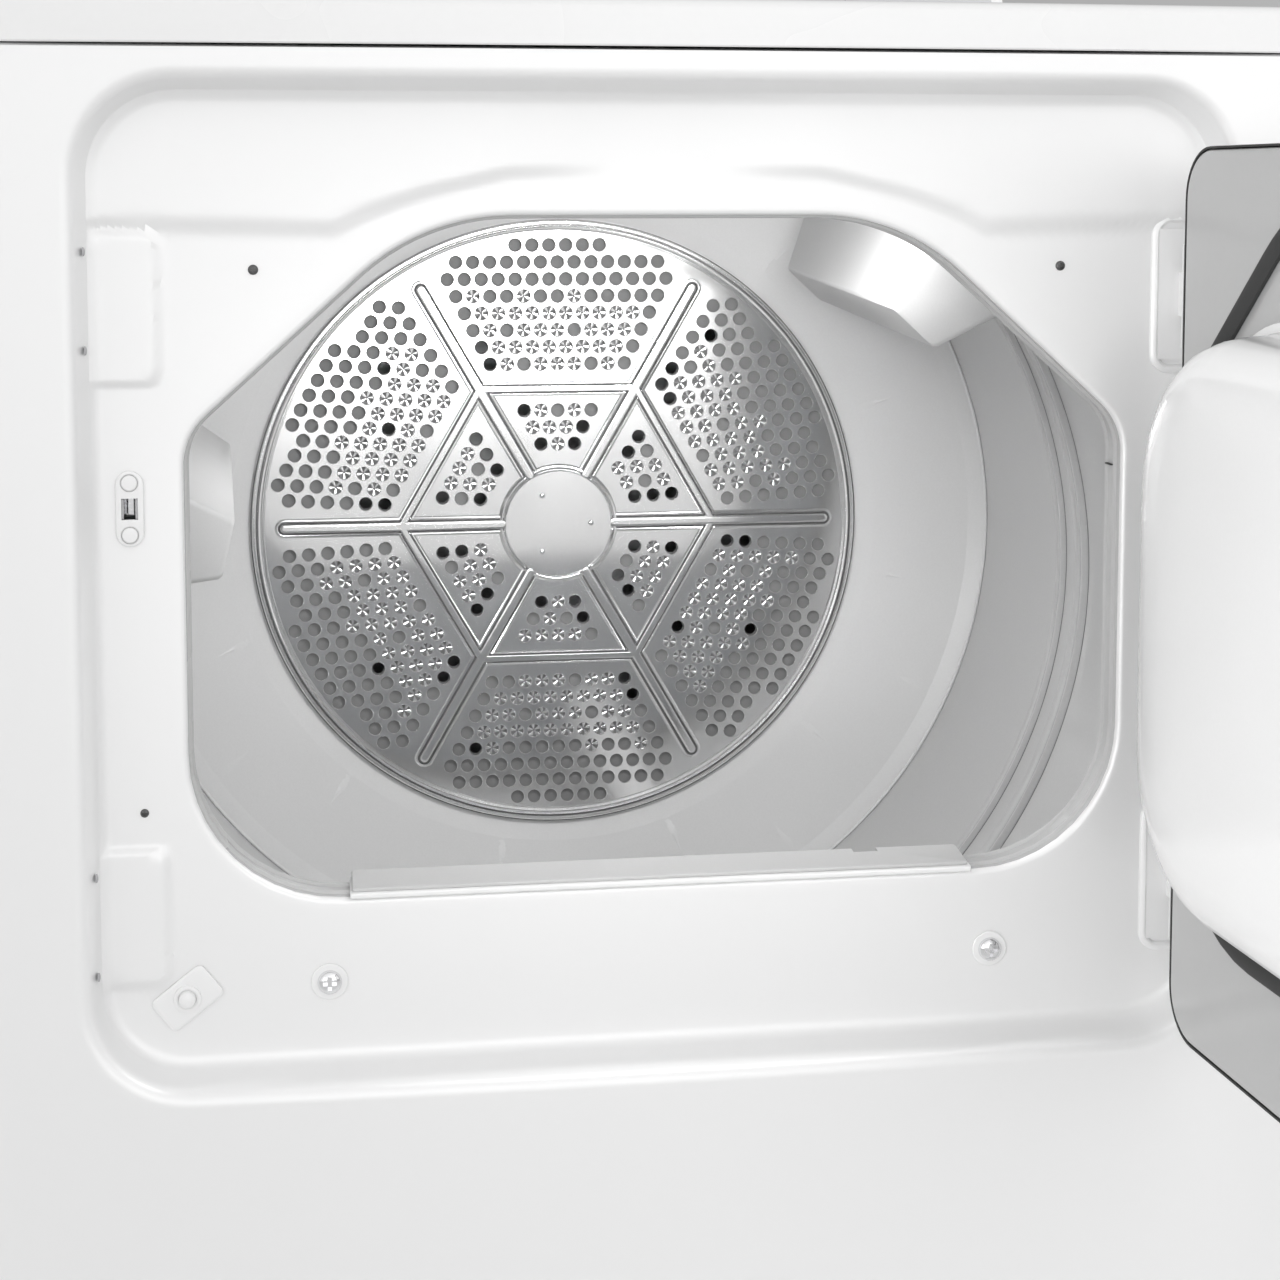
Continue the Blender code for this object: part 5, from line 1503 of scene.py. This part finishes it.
# ---------------------------------------------------------------- console
@dataclass
class Console(Assembly):
    """The control console: its housing, printed fascia, two knobs and the start button."""

    foot: Point2 = (0.5630, 0.9145)
    slope: Point2 = (0.23493, 0.97203)
    half_w: float = 0.3645
    fascia_half_w: float = 0.3545
    fascia_span: Point2 = (0.012, 0.158)
    row: float = 0.085
    bore_r: float = 0.0070
    face: float = -0.0020
    mark_y: Point2 = (-0.00225, -0.0019)
    minutes: tuple[int, ...] = (10, 20, 30, 40, 50, 60)
    knobs: tuple[tuple[str, float, float], ...] = (("cycle", 0.215, 0.031), ("temperature", 0.020, 0.021))
    start: Point2 = (-0.120, 0.013)

    def matrix(self, x: float, up: float) -> Matrix:
        """The move from the fascia's own frame (X right, Y into it, Z up it) to a place on it."""
        place = Vector((x, self.foot[0] + self.slope[0] * up, self.foot[1] + self.slope[1] * up))
        lean = atan2(self.slope[0], self.slope[1])
        return Matrix.Translation(place) @ Matrix.Rotation(-lean, 4, "X")

    def build(self) -> None:
        """Makes the console and everything on it."""
        self.build_housing()
        self.build_fascia()
        for label, x, radius in self.knobs:
            self.build_knob(label, x, radius)
        self.build_button()

    def build_housing(self) -> None:
        """The housing, a sheet folded over a sloping face, with pressed end caps."""
        (fy, fz), rear, top = self.foot, REAR_Y, 1.0918
        corners = [
            (fy, fz, 0.004), (0.6040, 1.0842, 0.010), (0.6140, top, 0.008), (rear, top, 0.006), (rear, fz, 0.002),
        ]
        section = rounded(corners, 5)
        middle = Vector((sum(p[0] for p in section) / len(section), sum(p[1] for p in section) / len(section)))

        def drawn_in(inset: float) -> Outline:
            return [tuple(Vector(p) + (middle - Vector(p)).normalized() * inset) for p in section]

        w = self.half_w
        ends = ((w, 0.0030), (w - 0.0009, 0.0009), (w - 0.0030, 0.0))
        stations = [(-x, inset) for x, inset in ends] + list(reversed(ends))
        rings = [[(x, y, z) for y, z in drawn_in(inset)] for x, inset in stations]
        housing = Bench.skin("console_housing", rings, (True, True))
        hollow = [[(x, y, z) for y, z in drawn_in(0.002)] for x in (-w + 0.003, w - 0.003)]
        Bench.combine(housing, [Bench.skin("hollow", hollow, (True, True))])
        Bench.combine(housing, self.bores())
        self.deliver(housing, "cabinet", ENAMEL, ["console_body"])

    def bores(self) -> list[bpy.types.Object]:
        """Cutters through the sloping face, for the knobs' and the button's stems."""
        tools = []
        for x in (*(x for _, x, _ in self.knobs), self.start[0]):
            tool = Bench.rod("bore", (0, -0.012, 0), (0, 0.012, 0), self.bore_r, 32)
            tool.data.transform(self.matrix(x, self.row))
            tools.append(tool)
        return tools

    def build_fascia(self) -> None:
        """The printed overlay, its rounded edge and its plain marks."""
        low, high = self.fascia_span
        outline = rounded_rect((-self.fascia_half_w, self.fascia_half_w), (low, high), 0.006, 6)
        rings = [upright(outline, -0.0003), upright(outline, -0.0016)]
        rings.append(upright([(u * 0.9985, (v - self.row) * 0.994 + self.row) for u, v in outline], self.face))
        fascia = Bench.skin("console_fascia_overlay", rings, (True, True))
        fascia.data.transform(self.matrix(0.0, 0.0))
        Bench.combine(fascia, self.bores())
        self.deliver(fascia, "cabinet", FASCIA_GREY, ["console_fascia"])
        front, back = self.mark_y
        marks = []
        for label, x, radius in self.knobs:
            count, sweep = (24, 2 * pi) if label == "cycle" else (9, 1.5 * pi)
            for k in range(count):
                turn = pi / 2 - sweep / 2 + sweep * k / (count if sweep > 6 else count - 1)
                length = 0.006 if k % 4 == 0 else 0.0035
                inner = radius + 0.005
                bar = Bench.block("mark", (-0.0004, front, inner), (0.0004, back, inner + length))
                bar.data.transform(self.matrix(x, self.row) @ Matrix.Rotation(turn, 4, "Y"))
                marks.append(bar)
        band = Bench.block("mark", (-0.345, front, 0.150), (0.345, back, 0.1512))
        band.data.transform(self.matrix(0.0, 0.0))
        marks.append(band)
        ring = Bench.turned(
            "mark", [(0.0180, back), (0.0180, front), (0.0187, front), (0.0187, back)], looped=True
        )
        ring.data.transform(self.matrix(self.start[0], self.row))
        marks.append(ring)
        self.deliver(Bench.joined(marks, "fascia_marks"), "cabinet", MARKING)
        self.build_numbers()

    def build_numbers(self) -> None:
        """The minutes round the cycle knob, as thin raised figures."""
        _, x, radius = self.knobs[0]
        for k, minutes in enumerate(self.minutes):
            turn = radians(60 * k + 30)
            Bench.clear()
            bpy.ops.object.text_add()
            text = bpy.context.object
            text.data.body = str(minutes)
            text.data.size = 0.0085
            text.data.align_x, text.data.align_y = "CENTER", "CENTER"
            text.data.extrude = 0.00012
            text.data.resolution_u = 2
            bpy.ops.object.convert(target="MESH")
            text.name = text.data.name = f"minutes_{minutes}"
            reach = radius + 0.0165
            text.data.transform(
                self.matrix(x, self.row) @ Matrix.Translation((reach * sin(turn), -0.00205, reach * cos(turn)))
                @ Matrix.Rotation(pi / 2, 4, "X")
            )
            self.deliver(text, "cabinet", MARKING)

    def build_knob(self, label: str, x: float, radius: float) -> None:
        """A tapered, fluted knob with a pointer line, on its stem."""
        flutes, steps = 24, 120
        gap, height, taper = 0.003, 0.022, 0.88
        rows = (
            (0.0, radius * 0.97, 0.0), (0.0012, radius, 0.0), (0.0030, radius, 0.3), (0.0050, radius * 0.985, 1.0),
            (height - 0.0034, radius * (taper + 0.02), 1.0), (height - 0.0018, radius * taper, 0.5),
            (height - 0.0006, radius * (taper - 0.04), 0.0), (height, radius * (taper - 0.09), 0.0),
        )
        rings = []
        for out, r, flute in rows:
            ring = []
            for k in range(steps):
                turn = 2 * pi * k / steps
                local = r - flute * 0.0007 * (0.5 - 0.5 * cos(flutes * turn))
                ring.append((local * cos(turn), self.face - gap - out, local * sin(turn)))
            rings.append(ring)
        knob = Bench.skin(f"{label}_knob_cap", rings, (True, True))
        stem = Bench.rod("stem", (0, -0.006, 0), (0, 0.010, 0), 0.0045, 24)
        Bench.combine(knob, [stem], "UNION")
        knob.data.transform(self.matrix(x, self.row))
        self.deliver(knob, f"{label}_knob", WHITE_PLASTIC, [f"{label}_knob"])
        face = self.face - gap - height
        low, high = (-0.0007, face - 0.0001, radius * 0.20), (0.0007, face + 0.0008, radius * 0.74)
        line = Bench.block(f"{label}_knob_pointer", low, high, 0.0002, 1)
        line.data.transform(self.matrix(x, self.row))
        self.deliver(line, f"{label}_knob", MARKING)

    def build_button(self) -> None:
        """The round start button with a dished face."""
        radius, gap, height = self.start[1], 0.0062, 0.012
        base, top = self.face - gap + 0.0002, self.face - gap - height
        profile = [
            (radius, base), (radius, top + 0.0016), (radius - 0.0005, top + 0.0005), (radius - 0.0014, top),
            (radius - 0.0028, top + 0.0002), (radius * 0.5, top + 0.0010), (radius * 0.1, top + 0.0012),
        ]
        button = Bench.turned("start_button_cap", profile, steps=64, caps=(True, True))
        Bench.combine(button, [Bench.rod("stem", (0, base - 0.001, 0), (0, 0.010, 0), 0.0045, 24)], "UNION")
        button.data.transform(self.matrix(self.start[0], self.row))
        self.deliver(button, "start_button", WHITE_PLASTIC, ["start_button"])


# ---------------------------------------------------------------- cabinet shell
@dataclass
class Shell(Assembly):
    """The top panel, the rear panel with its louvres and screws, and the fittings behind."""

    bow: float = 0.010
    exhaust: Point2 = (0.045, 0.0925)
    louvre_columns: Point3 = (-0.16, 0.0, 0.16)
    screw_columns: tuple[float, ...] = (-0.356, -0.19, 0.19, 0.356)
    screw_rows: Point3 = (0.030, 0.45, 0.875)
    more_screws: tuple[Point2, ...] = ((0.356, 0.24), (0.356, 0.66), (-0.356, 0.24), (-0.356, 0.66), (0.0, 0.875))

    def build(self) -> None:
        """Makes the outer shell."""
        self.build_top()
        self.build_rear()
        self.build_cover()

    def build_top(self) -> None:
        """The bowed worktop: a tray with a rounded front edge."""
        low, high = PLACES.box("top_panel")
        w, rear = high.x, high.y

        def outline(inset: float) -> Outline:
            count = 28
            xs = [(-w + inset) + 2 * (w - inset) * k / count for k in range(count + 1)]
            front = [(x, low.y + self.bow * (x / w) ** 2 + inset) for x in xs]
            return [*front, (w - inset, rear - inset * 0.2), (-w + inset, rear - inset * 0.2)]

        rings = [[(x, y, low.z) for x, y in outline(0.0008)], [(x, y, low.z + 0.0008) for x, y in outline(0.0)]]
        for across, along in fillet(0.0060, 6):
            rings.append([(x, y, high.z - across) for x, y in outline(along)])
        top = Bench.skin("top_panel_tray", rings, (False, True))
        Bench.facing(top, (0, 0, 1))
        Bench.walled(top, 0.0010)
        self.deliver(top, "cabinet", TOP_ENAMEL, ["top_panel"])

    def build_rear(self) -> None:
        """The zinc rear sheet: pressed louvres, the exhaust hole's collar and the screws."""
        louvres = [self.louvre(x, 0.52 + 0.030 * k, 0.055) for x in self.louvre_columns for k in range(7)]
        louvres += [self.louvre(x, 0.26 + 0.026 * k, 0.045) for x in (-0.215, 0.215) for k in range(5)]
        self.deliver(Bench.joined(louvres, "rear_louvres"), "cabinet", ZINC)
        screws = [(x, z) for x in self.screw_columns for z in self.screw_rows]
        heads = [self.hex_head(x, z) for x, z in (*screws, *self.more_screws)]
        self.deliver(Bench.joined(heads, "rear_screws"), "cabinet", DARK_SCREW)
        y = REAR_Y
        ring = [
            (0.0535, y - 0.0002), (0.0660, y - 0.0002), (0.0660, y + 0.0004), (0.0650, y + 0.0010),
            (0.0545, y + 0.0010), (0.0535, y + 0.0004),
        ]
        self.deliver(Bench.turned("exhaust_collar", ring, self.exhaust, 64, looped=True), "cabinet", ZINC)

    def louvre(self, x: float, z: float, half: float) -> bpy.types.Object:
        """One pressed louvre: a low hood that opens downwards."""
        y = REAR_Y
        rings = []
        for share, height in ((0.0, 0.0), (0.12, 0.0024), (0.88, 0.0024), (1.0, 0.0)):
            u = x - half + 2 * half * share
            rings.append([
                (u, y - 0.0004, z + 0.0070), (u, y + 0.0002 + height * 0.35, z + 0.0045),
                (u, y + 0.0003 + height, z - 0.0030), (u, y + 0.0002 + height * 0.9, z - 0.0048),
                (u, y - 0.0004, z - 0.0050),
            ])
        return Bench.skin("louvre", rings, (True, True))

    def hex_head(self, x: float, z: float) -> bpy.types.Object:
        """A hexagon washer-head screw on the rear sheet."""
        flange = Bench.rod("flange", (x, REAR_Y - 0.0004, z), (x, REAR_Y + 0.0007, z), 0.0055, 20)
        head = Bench.rod("hexagon", (x, REAR_Y + 0.0005, z), (x, REAR_Y + 0.0029, z), 0.0038, 6, 0.0003)
        return Bench.joined([flange, head], "hex_head")

    def build_cover(self) -> None:
        """Two screws that hold the terminal cover."""
        low, high = PLACES.box("terminal_cover")
        x, y = (low.x + high.x) / 2, high.y
        dome = [(0.0040, y - 0.0006), (0.0038, y - 0.0003), (0.0024, y - 0.00005), (0.0006, y)]
        zs = (low.z + 0.010, high.z - 0.010)
        heads = [Bench.turned("head", dome, (x, z), 24, (True, True)) for z in zs]
        self.deliver(Bench.joined(heads, "terminal_cover_screws"), "cabinet", DARK_SCREW)


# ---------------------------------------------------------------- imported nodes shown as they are
class Dresser:
    """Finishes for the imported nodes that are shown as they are."""

    def dress(self, names: Iterable[str], finish: Finish) -> None:
        """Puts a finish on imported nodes.

        Args:
            names: The nodes' names.
            finish: The finish that covers them.
        """
        for name in names:
            node = bpy.data.objects.get(name)
            if node is None:
                log.warning("%s is not in the packed model", name)
                continue
            for slot in node.material_slots:
                slot.link = "OBJECT"
                slot.material = finish.material()

    def build(self) -> None:
        """Dresses every carried-over node."""
        leaves = [f"{place}_{kind}_leaf" for kind in ("hinge", "door") for place in ("lower", "upper")]
        feet = [f"foot_{end}_{side}" for end in ("front", "rear") for side in ("left", "right")]
        sheets = [
            "base_pan", "front_bulkhead", "rear_air_duct", "heater_housing", "lint_duct", "exhaust_pipe",
            "motor_bracket", "idler_arm", "rear_panel", "blower_housing", "terminal_cover",
        ]
        self.dress(["side_panel_left", "side_panel_right", *leaves], ENAMEL)
        self.dress(sheets, ZINC)
        self.dress(["front_drum_seal", "rear_drum_seal"], FELT)
        self.dress(["blower_wheel", "idler_pulley", "cycle_timer", "rear_bearing"], GREY_PLASTIC)
        self.dress(["motor_housing"], MOTOR_PAINT)
        self.dress(["motor_shaft", "drum_shaft", "door_strike"], CHROME)
        self.dress(["heating_element"], HEATER_WIRE)
        self.dress(["drive_belt", *feet], RUBBER)


# ---------------------------------------------------------------- studio
@dataclass
class Studio:
    """A pale floor, a bright room, soft lights and the camera."""

    place: Vector = field(default_factory=lambda: Vector((-0.1857, -1.2274, 0.8155)))
    yaw: float = 8.269
    pitch: float = -4.981
    lens: float = 62.71
    shift_y: float = -0.2000
    room: Point2 = (0.27, 1.55)
    bright_side: Point3 = (0.30, -0.87, -0.39)
    key_power: float = 1.7
    fill_power: float = 0.65
    beam_power: float = 0.07
    lamp_power: float = 1.2

    def build(self) -> None:
        """Sets the room, the lights and the camera."""
        scene = bpy.context.scene
        scene.view_settings.view_transform = "Standard"
        self.floor()
        self.world()
        self.area("key", (0.5, -2.8, 1.7), (0.0, 0.0, 0.6), (1.8, 1.4), self.key_power, 120)
        self.area("door_fill", (-0.60, -0.80, 0.62), (0.28, -0.32, 0.60), (0.30, 0.50), self.fill_power, 70)
        self.area("drum_beam", (0.0, -1.40, 0.66), (0.02, 0.0, 0.60), (0.40, 0.26), self.beam_power, 16)
        self.area("drum_lamp", (0.06, 0.03, 0.815), (0.02, 0.42, 0.40), (0.26, 0.02), self.lamp_power, 160)
        self.camera(scene)

    def floor(self) -> None:
        """A plain pale floor."""
        Bench.clear()
        bpy.ops.mesh.primitive_plane_add(size=12.0, location=(0, 0, -0.0005))
        floor = bpy.context.object
        floor.name = floor.data.name = "studio_floor"
        material = Finish("studio_floor", "studio", grey(0.82), 0.6, shade=0.01).material()
        floor.data.materials.append(material)

    def world(self) -> None:
        """A white surround that is brightest low in front and dims towards the ceiling and behind."""
        world = bpy.data.worlds.new("studio_room")
        world.use_nodes = True
        tree = world.node_tree
        direction = tree.nodes.new("ShaderNodeTexCoord")
        toward = tree.nodes.new("ShaderNodeVectorMath")
        toward.operation = "DOT_PRODUCT"
        toward.inputs[1].default_value = self.bright_side
        ramp = tree.nodes.new("ShaderNodeMapRange")
        ramp.inputs["From Min"].default_value = -1.0
        ramp.inputs["To Min"].default_value = self.room[0]
        ramp.inputs["To Max"].default_value = self.room[1]
        tree.links.new(direction.outputs["Generated"], toward.inputs[0])
        tree.links.new(toward.outputs["Value"], ramp.inputs["Value"])
        background = tree.nodes["Background"]
        background.inputs["Color"].default_value = (1.0, 1.0, 1.0, 1.0)
        tree.links.new(ramp.outputs["Result"], background.inputs["Strength"])
        bpy.context.scene.world = world

    def area(
        self, name: str, place: Point3, target: Point3, size: Point2, power: float, spread: float
    ) -> None:
        """A soft rectangular light.

        Args:
            name: The light's name.
            place: Where it stands.
            target: The point that it faces.
            size: Its width and height.
            power: Its power in watts.
            spread: The angle, in degrees, that it shines into.
        """
        Bench.clear()
        bpy.ops.object.light_add(type="AREA", location=place)
        light = bpy.context.object
        light.name = light.data.name = name
        light.data.shape = "RECTANGLE"
        light.data.size, light.data.size_y = size
        light.data.spread = radians(spread)
        light.data.energy = power
        light.rotation_euler = (Vector(target) - Vector(place)).to_track_quat("-Z", "Y").to_euler()

    def camera(self, scene: bpy.types.Scene) -> None:
        """The camera, close in front of the opening and a little to its left."""
        Bench.clear()
        bpy.ops.object.camera_add(location=self.place)
        camera = bpy.context.object
        camera.rotation_euler = (radians(90 + self.pitch), 0.0, radians(-self.yaw))
        camera.data.lens = self.lens
        camera.data.sensor_width = 36
        camera.data.shift_y = self.shift_y
        camera.data.dof.use_dof = False
        scene.camera = camera


# ---------------------------------------------------------------- main
def main() -> None:
    """Builds every sub-assembly and the studio."""
    logging.basicConfig(level=logging.INFO, format="%(name)s: %(message)s")
    for part in (FrontPanel(), FrontFittings(), Drum(), Diffuser(), Door(), Console(), Shell(), Dresser(), Studio()):
        log.info("building %s", type(part).__name__)
        part.build()


if __name__ == "__main__":
    main()
